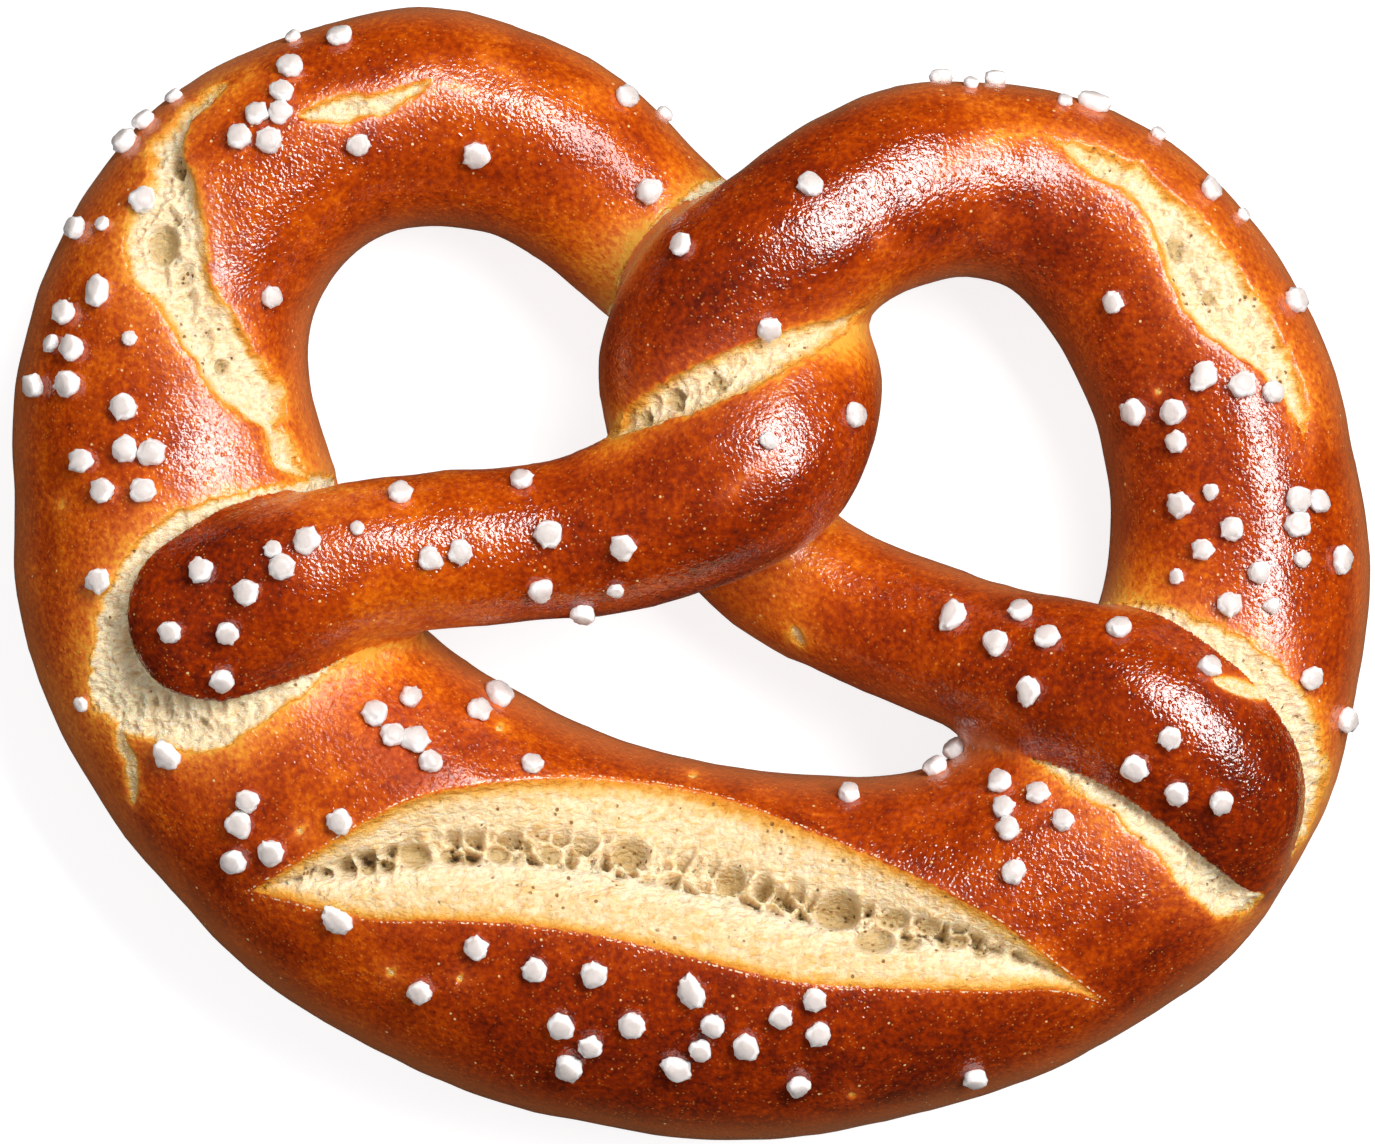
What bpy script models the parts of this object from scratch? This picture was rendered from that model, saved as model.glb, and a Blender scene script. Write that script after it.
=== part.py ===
"""A soft pretzel: one rope of dough, looped, twisted twice, its two ends laid on the belly.

Run with: blender --background --python part.py
Metres, +Z up. The pretzel lies on the plane z = 0 with its belly towards -Y, and the
origin is under the middle of its footprint.

One closed line of stations gives the rope: where its middle runs, how wide and how tall
it is, and how far it is lifted off the tray where it crosses over itself. Rings swept
along that line are fused into one solid, flattened where they met the tray, and opened
by the baker's cut on the belly and by the rips that the oven tore in both shoulders.
"""

import math

import bmesh
import bpy
from mathutils import Vector
from mathutils.bvhtree import BVHTree

MM = 0.001

# How finely the dough is built.
RING_SIDES = 28
RING_STEP = 2.0 * MM
CUTTER_SIDES = 14
CUTTER_STEP = 4.0 * MM
CAP_RINGS = 6
FUSE_VOXEL = 2.0 * MM
SMOOTH_PASSES = 3
TRIANGLE_BUDGET = 7400

# A rope of height h that lies on the tray has its middle at this share of h, so that its
# underside is baked flat and its sides still bulge over the edge of that flat.
SETTLE = 0.42

# The rope from the tip of the left arm to the tip of the right arm, in millimetres:
# x, y, width, height, lift.
LEFT_ARM = [
    (-58.0, -7.7, 17.7, 15.0, 19.0),
    (-49.7, -3.6, 19.2, 17.0, 20.4),
    (-36.8, 0.5, 19.6, 17.5, 19.0),
    (-16.1, 3.4, 19.2, 18.0, 16.2),
    (-4.9, 5.7, 20.3, 19.0, 16.8),
]
LEFT_TURN = [
    (4.5, 10.6, 22.2, 20.0, 18.0),
    (11.0, 16.8, 22.9, 21.0, 15.2),
    (12.0, 23.9, 21.9, 21.0, 8.6),
    (6.2, 31.8, 20.6, 21.0, 2.4),
    (-2.9, 39.7, 21.2, 21.0, 0.4),
]
LEFT_LOOP = [
    (-11.5, 47.2, 22.9, 22.5, 0.0),
    (-19.7, 52.0, 24.3, 24.0, 0.0),
    (-30.3, 53.9, 25.8, 25.0, 0.0),
    (-41.5, 51.5, 26.7, 26.0, 0.0),
    (-51.7, 44.7, 29.2, 27.5, 0.0),
    (-58.9, 33.9, 32.3, 29.0, 0.0),
    (-61.6, 21.5, 36.0, 30.5, 0.0),
    (-60.4, 10.2, 38.2, 31.5, 0.0),
]
BELLY = [
    (-57.4, -4.4, 39.6, 32.5, 0.0),
    (-48.0, -19.1, 43.2, 33.5, 0.0),
    (-33.3, -31.8, 45.0, 34.5, 0.0),
    (-13.3, -41.2, 44.8, 35.0, 0.0),
    (9.2, -45.2, 43.2, 35.0, 0.0),
    (31.2, -42.3, 40.2, 34.5, 0.0),
    (49.3, -33.1, 39.0, 33.5, 0.0),
    (60.2, -20.4, 36.2, 32.0, 0.0),
]
RIGHT_LOOP = [
    (64.7, -5.6, 31.6, 30.0, 0.0),
    (65.2, 8.5, 29.7, 28.5, 0.0),
    (62.3, 22.8, 28.4, 27.5, 0.0),
    (54.9, 35.5, 26.5, 26.0, 0.0),
    (44.4, 44.0, 24.6, 24.5, 0.6),
    (33.3, 46.2, 23.8, 23.5, 2.2),
    (22.7, 43.8, 23.3, 22.5, 5.6),
]
RIGHT_TURN = [
    (13.6, 38.2, 22.0, 22.0, 11.2),
    (4.6, 32.1, 22.2, 21.5, 16.4),
    (0.4, 23.9, 21.4, 21.0, 11.2),
    (2.9, 13.3, 20.0, 20.0, 3.2),
    (10.8, 1.8, 18.2, 18.5, 1.6),
]
RIGHT_ARM = [
    (20.5, -4.4, 17.8, 17.5, 4.2),
    (32.3, -9.3, 18.4, 18.0, 8.6),
    (44.2, -13.1, 20.3, 18.5, 14.0),
    (55.4, -17.8, 21.7, 19.0, 18.0),
    (62.8, -25.4, 18.6, 17.0, 18.6),
    (65.0, -31.6, 12.6, 13.0, 16.0),
]
ROPE = LEFT_ARM + LEFT_TURN + LEFT_LOOP + BELLY + RIGHT_LOOP + RIGHT_TURN + RIGHT_ARM

# Where the crust stands open, in millimetres: x, y, width across the opening. Each depth
# is how far the opening's floor lies under the crust.
SLASH_DEPTH = 4.0 * MM
SLASH = [
    (-51.5, -37.6, 1.0),
    (-42.0, -35.6, 7.0),
    (-31.5, -33.8, 13.6),
    (-18.0, -33.4, 17.0),
    (-4.0, -35.0, 18.8),
    (10.0, -38.4, 18.2),
    (25.0, -42.2, 13.4),
    (37.0, -45.6, 7.4),
    (48.5, -50.6, 1.0),
]
RIP_DEPTH = 2.2 * MM
LEFT_RIP = [
    (-55.6, 56.6, 1.6),
    (-60.8, 50.2, 4.0),
    (-61.8, 41.0, 8.8),
    (-58.6, 31.0, 7.8),
    (-51.5, 22.0, 5.2),
    (-47.5, 15.6, 1.8),
]
RIGHT_RIP = [
    (43.4, 50.6, 1.2),
    (54.0, 44.5, 4.6),
    (61.0, 33.4, 6.6),
    (67.6, 25.0, 5.2),
    (72.6, 16.8, 1.2),
]

CRUST_COLOUR = (0.36, 0.105, 0.022, 1.0)
CRUST_ROUGHNESS = 0.35


def clear_scene():
    """Removes every object that the file opened with."""
    for obj in list(bpy.data.objects):
        bpy.data.objects.remove(obj, do_unlink=True)


def crust_material():
    """The lye-browned skin of the loaf."""
    material = bpy.data.materials.new("crust")
    material.use_nodes = True
    shader = material.node_tree.nodes["Principled BSDF"]
    shader.inputs["Base Color"].default_value = CRUST_COLOUR
    shader.inputs["Roughness"].default_value = CRUST_ROUGHNESS
    shader.inputs["Metallic"].default_value = 0.0
    return material


def smooth_line(stations, step):
    """Reads stations off a Catmull-Rom curve through them, about one step apart."""
    before = stations[0] * 2 - stations[1]
    after = stations[-1] * 2 - stations[-2]
    knots = [before, *stations, after]
    line = []
    for a, b, c, d in zip(knots, knots[1:], knots[2:], knots[3:]):
        count = max(1, round((c - b).to_3d().length / step))
        for i in range(count):
            t = i / count
            line.append(
                (
                    b * 2
                    + (c - a) * t
                    + (a * 2 - b * 5 + c * 4 - d) * t**2
                    + (b * 3 - a - c * 3 + d) * t**3
                )
                / 2
            )
    line.append(stations[-1])
    return line


def ring_around(middle, tangent, width, height, sides):
    """The points of an upright oval across the rope."""
    side = Vector((0, 0, 1)).cross(tangent).normalized()
    up = tangent.cross(side)
    turns = (2 * math.pi * i / sides for i in range(sides))
    return [
        middle + side * (width / 2 * math.cos(turn)) + up * (height / 2 * math.sin(turn))
        for turn in turns
    ]


def cap_rings(middle, outward, width, height):
    """Rings that round off an end of the rope, from its last full ring to its tip."""
    reach = min(width, height) / 2
    for i in range(1, CAP_RINGS):
        angle = math.pi / 2 * i / CAP_RINGS
        yield (
            middle + outward * (reach * math.sin(angle)),
            width * math.cos(angle),
            height * math.cos(angle),
        )


def sweep(name, middles, widths, heights, sides):
    """A closed tube of changing oval section along a line of points."""
    count = len(middles)
    tangents = [
        (middles[min(i + 1, count - 1)] - middles[max(i - 1, 0)]).normalized()
        for i in range(count)
    ]
    start = list(cap_rings(middles[0], -tangents[0], widths[0], heights[0]))
    end = list(cap_rings(middles[-1], tangents[-1], widths[-1], heights[-1]))
    sections = (
        [(*section, tangents[0]) for section in reversed(start)]
        + list(zip(middles, widths, heights, tangents))
        + [(*section, tangents[-1]) for section in end]
    )
    mesh = bmesh.new()
    rings = [
        [mesh.verts.new(p) for p in ring_around(middle, tangent, width, height, sides)]
        for middle, width, height, tangent in sections
    ]
    for ring, following in zip(rings, rings[1:]):
        for i in range(sides):
            j = (i + 1) % sides
            mesh.faces.new((ring[i], ring[j], following[j], following[i]))
    mesh.faces.new(reversed(rings[0]))
    mesh.faces.new(rings[-1])
    bmesh.ops.recalc_face_normals(mesh, faces=mesh.faces)
    data = bpy.data.meshes.new(name)
    mesh.to_mesh(data)
    mesh.free()
    obj = bpy.data.objects.new(name, data)
    bpy.context.collection.objects.link(obj)
    return obj


def rope_of_dough():
    """The whole rope, passing through itself where it crosses, and still round below."""
    stations = [
        Vector((x, y, SETTLE * height + lift, width, height)) * MM
        for x, y, width, height, lift in ROPE
    ]
    line = smooth_line(stations, RING_STEP)
    middles = [p.to_3d() for p in line]
    widths = [p[3] for p in line]
    heights = [p[4] for p in line]
    return sweep("pretzel", middles, widths, heights, RING_SIDES)


def baked(rope):
    """Fuses the rope where it crosses itself, eases the creases and lightens the mesh."""
    fuse = rope.modifiers.new("fuse", "REMESH")
    fuse.mode = "VOXEL"
    fuse.voxel_size = FUSE_VOXEL
    ease = rope.modifiers.new("ease", "SMOOTH")
    ease.factor = 0.5
    ease.iterations = SMOOTH_PASSES
    apply_modifiers(rope)
    lighten = rope.modifiers.new("lighten", "DECIMATE")
    triangles = 2 * len(rope.data.polygons)
    lighten.ratio = min(1.0, TRIANGLE_BUDGET / triangles)
    apply_modifiers(rope)


def apply_modifiers(obj):
    """Replaces the mesh by what its modifiers make of it."""
    graph = bpy.context.evaluated_depsgraph_get()
    graph.update()
    made = bpy.data.meshes.new_from_object(obj.evaluated_get(graph))
    obj.modifiers.clear()
    obj.data = made


def settled(rope):
    """Moves the loaf so that the origin is under the middle of its footprint."""
    xs = [v.co.x for v in rope.data.vertices]
    ys = [v.co.y for v in rope.data.vertices]
    middle = Vector((min(xs) + max(xs), min(ys) + max(ys), 0)) / 2
    for vertex in rope.data.vertices:
        vertex.co -= middle


def as_cutter(obj):
    """Marks an object as a helper that takes material away."""
    obj.hide_render = True
    obj.display_type = "WIRE"
    return obj


def opening_cutter(name, outline, depth, loaf):
    """A spindle that lies along the crust and reaches one depth below it."""
    surface = BVHTree.FromObject(loaf, bpy.context.evaluated_depsgraph_get())
    above = Vector((0, 0, 100 * MM))
    down = Vector((0, 0, -1))
    line = smooth_line([Vector(row) * MM for row in outline], CUTTER_STEP)
    middles = [surface.ray_cast(Vector((p.x, p.y, 0)) + above, down)[0] for p in line]
    widths = [p.z for p in line]
    widest = max(widths)
    heights = [2 * depth * math.sqrt(width / widest) for width in widths]
    return as_cutter(sweep(name, middles, widths, heights, CUTTER_SIDES))


def tray_cutter():
    """The block of space below the tray's surface."""
    side, depth = 200 * MM, 30 * MM
    bpy.ops.mesh.primitive_cube_add(size=1, location=(0, 0, -depth / 2))
    block = bpy.context.object
    block.name = "tray_cutter"
    block.data.transform(
        ((side, 0, 0, 0), (0, side, 0, 0), (0, 0, depth, 0), (0, 0, 0, 1))
    )
    return as_cutter(block)


def cut(loaf, cutter):
    """Takes a cutter's space out of the loaf."""
    boolean = loaf.modifiers.new(cutter.name, "BOOLEAN")
    boolean.operation = "DIFFERENCE"
    boolean.solver = "EXACT"
    boolean.object = cutter


def main():
    clear_scene()
    loaf = rope_of_dough()
    baked(loaf)
    settled(loaf)
    openings = [
        ("slash_cutter", SLASH, SLASH_DEPTH),
        ("left_rip_cutter", LEFT_RIP, RIP_DEPTH),
        ("right_rip_cutter", RIGHT_RIP, RIP_DEPTH),
    ]
    cutters = [opening_cutter(*opening, loaf) for opening in openings]
    for cutter in [*cutters, tray_cutter()]:
        cut(loaf, cutter)
    loaf.data.shade_smooth()
    loaf.data.materials.append(crust_material())


main()
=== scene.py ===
"""A large soft pretzel, baked, slashed, ripped and salted, lying flat on a pale table.

The rope of dough is rolled along its route, a web of stretched dough fills the twist, and both
are fused into one loaf. The loaf settles flat on z = 0, its skin is refined where the crust
stands open, and the slash, the rips and the seams are worked into it. Every vertex then keeps
what a baker would see there: how dark the crust is, how far it is to the nearest opening, and
how raw the crumb is. One finish reads those. Coarse salt is pressed in last.

Lengths in the tables below are millimetres on the rope's own route. Layout turns them into the
frame's metres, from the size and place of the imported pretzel.
"""

import logging
import math
import random
from dataclasses import dataclass, field
from enum import Enum
from typing import Any, Callable, Sequence

import bpy
import numpy as np
from mathutils import Matrix, Vector, noise
from mathutils.bvhtree import BVHTree


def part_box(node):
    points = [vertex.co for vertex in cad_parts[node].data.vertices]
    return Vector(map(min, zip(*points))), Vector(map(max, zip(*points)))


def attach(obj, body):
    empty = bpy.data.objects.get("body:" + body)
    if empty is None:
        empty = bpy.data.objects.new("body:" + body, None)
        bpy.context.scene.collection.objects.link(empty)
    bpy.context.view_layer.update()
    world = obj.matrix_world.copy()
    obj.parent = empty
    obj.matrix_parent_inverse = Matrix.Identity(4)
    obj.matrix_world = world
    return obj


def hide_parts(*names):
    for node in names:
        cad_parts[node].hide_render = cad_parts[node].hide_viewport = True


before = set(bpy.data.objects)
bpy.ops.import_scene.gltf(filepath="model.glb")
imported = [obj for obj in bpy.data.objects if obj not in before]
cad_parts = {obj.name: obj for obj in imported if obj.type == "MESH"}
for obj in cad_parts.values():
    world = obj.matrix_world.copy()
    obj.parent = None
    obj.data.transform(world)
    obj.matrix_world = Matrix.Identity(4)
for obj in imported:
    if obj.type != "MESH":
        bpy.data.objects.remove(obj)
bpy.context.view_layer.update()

LOG = logging.getLogger("pretzel")
NODE = "pretzel"
BODY = "root"
WHITE = (1.0, 1.0, 1.0)
# How far inside an opening a vertex counts as that belongs to none, in millimetres.
FAR_OUTSIDE = -40.0
# What keeps a division from running into 0.
TINY = 1e-6
# How much finer each layer of a fractal is than the last.
LACUNARITY = 2.0
# The value of a cloud halfway between its patches.
CLOUD_MIDDLE = 0.5

Point = tuple[float, float]
Range = tuple[float, float]
Table = tuple[tuple[float, ...], tuple[float, ...]]
Colour = tuple[float, float, float]
Array = np.ndarray


# ---------------------------------------------------------------------------------------------
# The route of the rope, and where the crust stands open
# ---------------------------------------------------------------------------------------------


class Stretch(Enum):
    """The rope's stretches, in order, from the tip of the left arm to the tip of the right."""

    LEFT_ARM = 0
    LEFT_TURN = 1
    LEFT_LOOP = 2
    BELLY = 3
    RIGHT_LOOP = 4
    RIGHT_TURN = 5
    RIGHT_ARM = 6


# x, y, width, height, lift off the tray, and how dark the crust is baked there, 0 to 1.
ROUTE: dict[Stretch, tuple[tuple[float, ...], ...]] = {
    Stretch.LEFT_ARM: (
        (-55.3, -5.8, 22.0, 17.0, 19.4, 0.82),
        (-48.8, -2.5, 21.8, 17.4, 20.4, 0.70),
        (-43.2, -0.1, 19.8, 17.5, 20.2, 0.58),
        (-35.8, 1.6, 18.9, 17.5, 19.4, 0.52),
        (-21.6, 3.0, 18.8, 17.8, 17.4, 0.50),
        (-9.9, 4.8, 20.0, 18.5, 16.6, 0.60),
    ),
    Stretch.LEFT_TURN: (
        (4.6, 10.4, 22.6, 20.0, 18.0, 0.74),
        (11.0, 16.8, 22.9, 21.0, 15.2, 0.66),
        (12.0, 23.9, 21.9, 21.0, 8.6, 0.50),
        (6.2, 31.8, 20.6, 21.0, 2.4, 0.45),
        (-3.2, 39.4, 22.0, 21.0, 0.4, 0.45),
    ),
    Stretch.LEFT_LOOP: (
        (-11.5, 47.2, 22.9, 22.5, 0.0, 0.46),
        (-19.7, 52.0, 24.3, 24.0, 0.0, 0.54),
        (-30.3, 53.9, 25.8, 25.0, 0.0, 0.60),
        (-41.6, 51.6, 26.4, 26.0, 0.0, 0.60),
        (-52.0, 44.9, 28.8, 27.5, 0.0, 0.58),
        (-59.2, 34.0, 31.9, 29.0, 0.0, 0.58),
        (-61.4, 21.5, 35.2, 30.5, 0.0, 0.58),
        (-60.5, 10.2, 38.2, 31.5, 0.0, 0.52),
    ),
    Stretch.BELLY: (
        (-57.9, -4.4, 40.8, 32.5, 0.0, 0.50),
        (-48.0, -19.2, 43.3, 33.5, 0.0, 0.46),
        (-33.6, -32.2, 45.4, 34.5, 0.0, 0.54),
        (-13.5, -41.5, 45.4, 35.0, 0.0, 0.64),
        (9.2, -45.2, 43.6, 35.0, 0.0, 0.70),
        (31.2, -42.7, 39.3, 34.5, 0.0, 0.66),
        (49.4, -33.5, 38.4, 33.5, 0.0, 0.56),
        (60.0, -20.4, 35.6, 32.0, 0.0, 0.54),
    ),
    Stretch.RIGHT_LOOP: (
        (65.0, -5.6, 31.8, 30.0, 0.0, 0.54),
        (65.4, 8.5, 29.9, 28.5, 0.0, 0.60),
        (62.2, 22.8, 28.6, 27.5, 0.0, 0.64),
        (54.9, 35.5, 27.6, 26.0, 0.0, 0.62),
        (44.4, 44.2, 24.6, 24.5, 1.4, 0.62),
        (33.3, 46.4, 23.8, 23.5, 4.6, 0.60),
        (22.6, 44.0, 23.7, 22.5, 9.0, 0.64),
    ),
    Stretch.RIGHT_TURN: (
        (13.4, 38.6, 22.6, 22.0, 12.4, 0.71),
        (4.6, 32.1, 22.2, 21.5, 13.4, 0.77),
        (0.4, 23.9, 21.2, 21.0, 10.8, 0.66),
        (2.9, 13.3, 20.0, 20.0, 3.2, 0.40),
        (10.6, 1.6, 18.9, 18.5, 1.6, 0.34),
    ),
    Stretch.RIGHT_ARM: (
        (20.5, -4.4, 17.8, 17.5, 4.2, 0.52),
        (32.3, -9.1, 18.3, 18.0, 8.6, 0.64),
        (44.2, -12.8, 19.8, 18.5, 14.0, 0.68),
        (55.6, -17.4, 22.0, 19.0, 17.6, 0.70),
        (63.2, -25.2, 19.6, 17.0, 17.6, 0.76),
        (65.2, -32.7, 12.8, 13.4, 14.6, 0.76),
    ),
}


@dataclass(frozen=True)
class Profile:
    """The shape that one kind of tear gives its openings.

    Attributes:
        floor: places across the opening, and how deep its floor is there as a share of its
            depth. A seam's places are millimetres from its crust instead.
        pale: places across the opening, and how raw the crumb is there.
        full_span: how wide an opening of full depth is, in millimetres.
        lip: how far the crust curls up along the edges, in millimetres.
        holes_at: where across the opening its holes lie.
        holes_reach: how far they spread from there.
        holes_fall: the power by which they fade.
        holes_span: how wide an opening with holes of full depth is, in millimetres.
    """

    floor: Table
    pale: Table
    full_span: float
    lip: float
    holes_at: float = 0.45
    holes_reach: float = 0.25
    holes_fall: int = 2
    holes_span: float = 8.0


class Tear(Enum):
    """How the crust came to stand open, with the profile that it leaves."""

    # A blade's cut that opened wide: a steep wall on one side, a swollen skin on the other.
    SLASH = Profile(
        floor=(
            (0.0, 0.03, 0.12, 0.30, 0.43, 0.49, 0.60, 0.76, 0.90, 1.0),
            (0.0, 0.14, 0.36, 0.74, 1.0, 0.96, 0.52, 0.20, 0.08, 0.0),
        ),
        pale=((0.0, 0.3, 0.47, 0.56, 0.66, 0.8), (0.25, 0.35, 0.6, 1.0, 0.6, 0.0)),
        full_span=15.0,
        lip=0.0,
        holes_at=0.42,
        holes_reach=0.13,
        holes_fall=4,
        holes_span=10.0,
    )
    # Torn in the oven: a rough trough between two thin edges.
    RIP = Profile(
        floor=((0.0, 0.1, 0.35, 0.5, 0.75, 0.9, 1.0), (0.0, 0.7, 1.0, 0.9, 0.95, 0.6, 0.0)),
        pale=((0.0, 1.0), (0.7, 0.7)),
        full_span=5.0,
        lip=0.10,
    )
    # Stretched where an arm lifted off: down to the crease under the arm.
    SEAM = Profile(
        floor=((0.0, 0.5, 2.0, 4.0, 8.0), (0.0, 0.2, 0.8, 1.0, 1.0)),
        pale=((0.0, 1.0), (0.7, 0.7)),
        full_span=4.0,
        lip=0.08,
    )


@dataclass(frozen=True)
class Opening:
    """A place where the crust stands open.

    Both edges run between the same two ends. The upper one is on the crisp side of a slash,
    and on the crust side of a seam, whose lower edge is hidden under the arm.

    Attributes:
        tear: what opened it.
        upper: its upper edge.
        lower: its lower edge.
        depth: how deep its floor is, in millimetres.
        upper_glow: how far the gold reaches into the crust above it, in millimetres.
        lower_glow: how far it reaches into the crust below it, in millimetres.
        holes: how deep its large holes are, as a share of the slash's.
        under: the stretch of the rope that lies over it and isn't opened.
        gold: how golden its edges are.
        cream: how soon the toasted edge turns to pale crumb.
    """

    tear: Tear
    upper: tuple[Point, ...]
    lower: tuple[Point, ...]
    depth: float
    upper_glow: float
    lower_glow: float
    holes: float = 0.0
    under: Stretch | None = None
    gold: float = 1.0
    cream: float = 1.0


SLASH = Opening(
    Tear.SLASH,
    upper=(
        (-51.7, -37.8), (-46.8, -34.8), (-42.0, -32.0), (-37.0, -29.0), (-31.5, -26.6),
        (-22.0, -24.9), (-10.2, -24.4), (1.5, -26.2), (13.3, -30.1), (25.0, -35.0),
        (37.0, -41.5), (44.0, -46.8), (49.2, -50.9),
    ),
    lower=(
        (-51.7, -37.8), (-46.8, -38.9), (-41.5, -40.3), (-36.0, -41.2), (-30.0, -41.2),
        (-22.0, -41.5), (-10.2, -43.1), (1.5, -45.9), (13.3, -48.6), (25.0, -49.3),
        (37.0, -49.5), (44.0, -49.4), (49.2, -50.9),
    ),
    depth=4.8,
    upper_glow=1.2,
    lower_glow=1.4,
    holes=1.0,
    gold=0.45,
)
LEFT_RIP = Opening(
    Tear.RIP,
    upper=(
        (-53.0, 58.7), (-56.0, 55.7), (-58.3, 53.3), (-59.6, 50.6), (-58.5, 46.9),
        (-57.8, 43.8), (-57.0, 38.0), (-56.2, 33.7), (-53.0, 29.6), (-49.9, 24.8),
        (-47.6, 21.7), (-47.2, 18.8), (-47.8, 17.5), (-46.5, 14.9), (-45.1, 12.2), (-42.0, 10.4),
    ),
    lower=(
        (-53.0, 58.7), (-56.4, 57.2), (-61.0, 53.0), (-63.6, 50.1), (-63.8, 46.4),
        (-66.0, 42.2), (-67.0, 38.0), (-65.1, 33.7), (-62.6, 31.2), (-58.3, 24.8),
        (-55.9, 21.0), (-52.9, 18.5), (-50.3, 16.9), (-49.6, 15.0), (-48.2, 12.0), (-42.0, 10.0),
    ),
    depth=1.3,
    upper_glow=2.4,
    lower_glow=4.2,
    holes=0.45,
    cream=1.6,
)
TOP_RIP = Opening(
    Tear.RIP,
    upper=((-45.7, 54.0), (-43.1, 55.7), (-39.9, 56.6), (-35.7, 56.6), (-33.1, 57.9), (-29.9, 58.4)),
    lower=((-45.7, 54.0), (-44.2, 53.5), (-39.9, 53.3), (-35.2, 54.6), (-32.0, 56.2), (-29.9, 58.4)),
    depth=0.9,
    upper_glow=1.2,
    lower_glow=1.6,
    holes=0.6,
    cream=2.4,
)
RIGHT_RIP = Opening(
    Tear.RIP,
    upper=(
        (42.8, 51.5), (47.9, 50.5), (53.8, 47.9), (57.3, 44.9), (62.0, 40.6),
        (65.5, 35.9), (67.7, 32.5), (71.3, 26.6), (73.4, 20.8), (72.8, 15.5),
    ),
    lower=(
        (42.8, 51.5), (47.4, 47.3), (51.5, 45.2), (53.8, 42.9), (55.6, 38.8), (57.6, 33.0),
        (60.2, 28.9), (64.3, 26.0), (68.3, 23.1), (71.0, 19.6), (72.8, 15.5),
    ),
    depth=1.3,
    upper_glow=4.6,
    lower_glow=2.2,
    holes=0.55,
    cream=1.6,
)
LEFT_ARM_SEAM = Opening(
    Tear.SEAM,
    upper=(
        (-38.0, 12.0), (-49.4, 10.3), (-55.7, 8.8), (-62.0, 6.2), (-65.7, 2.8), (-69.1, -2.5),
        (-70.6, -8.3), (-70.8, -13.8), (-70.1, -16.4), (-67.0, -18.9), (-63.6, -20.1),
        (-58.3, -21.3), (-53.6, -20.1), (-48.3, -16.4), (-44.1, -13.3), (-39.3, -9.6),
        (-35.2, -7.7), (-29.0, -5.8),
    ),
    lower=(
        (-38.0, 12.0), (-47.2, 6.0), (-55.0, 1.5), (-59.0, -3.0), (-61.0, -8.0),
        (-58.0, -12.0), (-52.0, -10.0), (-45.0, -6.5), (-38.0, -5.0), (-29.0, -5.8),
    ),
    depth=1.1,
    upper_glow=4.2,
    lower_glow=1.0,
    holes=0.35,
    under=Stretch.LEFT_ARM,
    cream=3.0,
)
RIGHT_ARM_UPPER_SEAM = Opening(
    Tear.SEAM,
    upper=(
        (47.0, -3.9), (55.6, -3.8), (61.0, -5.5), (65.9, -7.8), (69.1, -10.3), (71.9, -13.0),
        (74.1, -16.3), (75.4, -20.2), (75.7, -24.0), (74.6, -28.3), (71.0, -35.0),
    ),
    lower=(
        (47.0, -3.9), (54.0, -10.0), (60.0, -13.5), (65.0, -18.0), (68.0, -23.0),
        (69.0, -29.0), (71.0, -35.0),
    ),
    depth=1.2,
    upper_glow=3.6,
    lower_glow=1.0,
    holes=0.35,
    under=Stretch.RIGHT_ARM,
    cream=2.0,
)
RIGHT_ARM_LOWER_SEAM = Opening(
    Tear.SEAM,
    upper=(
        (40.0, -22.0), (43.4, -24.2), (46.9, -26.4), (49.8, -28.6), (52.8, -30.9),
        (56.1, -34.3), (58.8, -37.5), (61.5, -40.3), (64.2, -41.3), (68.5, -38.5),
    ),
    lower=((40.0, -22.0), (48.0, -22.5), (54.0, -26.5), (60.0, -31.5), (68.5, -38.5)),
    depth=1.0,
    upper_glow=3.8,
    lower_glow=1.0,
    holes=0.35,
    under=Stretch.RIGHT_ARM,
    cream=2.0,
)
TWIST_SEAM = Opening(
    Tear.RIP,
    upper=(
        (-11.5, 15.0), (-8.5, 17.4), (-4.5, 21.4), (1.4, 24.8), (7.2, 27.2), (14.3, 29.3), (21.0, 31.2),
    ),
    lower=(
        (-11.5, 15.0), (-3.9, 17.0), (1.4, 19.0), (7.2, 21.4), (13.1, 24.8), (17.7, 27.4), (21.0, 31.2),
    ),
    depth=0.9,
    upper_glow=2.6,
    lower_glow=2.8,
    holes=0.25,
)
SHOULDER_SEAM = Opening(
    Tear.SEAM,
    upper=((4.4, 47.2), (0.9, 45.4), (-3.6, 41.6), (-6.8, 37.0), (-9.0, 32.6), (-9.9, 28.5)),
    lower=((4.4, 47.2), (5.0, 42.0), (2.0, 38.0), (-1.0, 34.0), (-5.0, 30.5), (-9.9, 28.5)),
    depth=0.4,
    upper_glow=2.6,
    lower_glow=1.0,
    under=Stretch.RIGHT_TURN,
    cream=3.4,
)
OPENINGS = (
    SLASH, LEFT_RIP, TOP_RIP, RIGHT_RIP, LEFT_ARM_SEAM, RIGHT_ARM_UPPER_SEAM,
    RIGHT_ARM_LOWER_SEAM, TWIST_SEAM, SHOULDER_SEAM,
)


@dataclass(frozen=True)
class Crack:
    """A thin split or a stretch mark in the crust.

    Attributes:
        line: its middle line.
        width: how wide it is, in millimetres.
        raw: 0 for a mark that only turns the crust golden, to 1 for a split down to the crumb.
    """

    line: tuple[Point, ...]
    width: float
    raw: float


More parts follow.
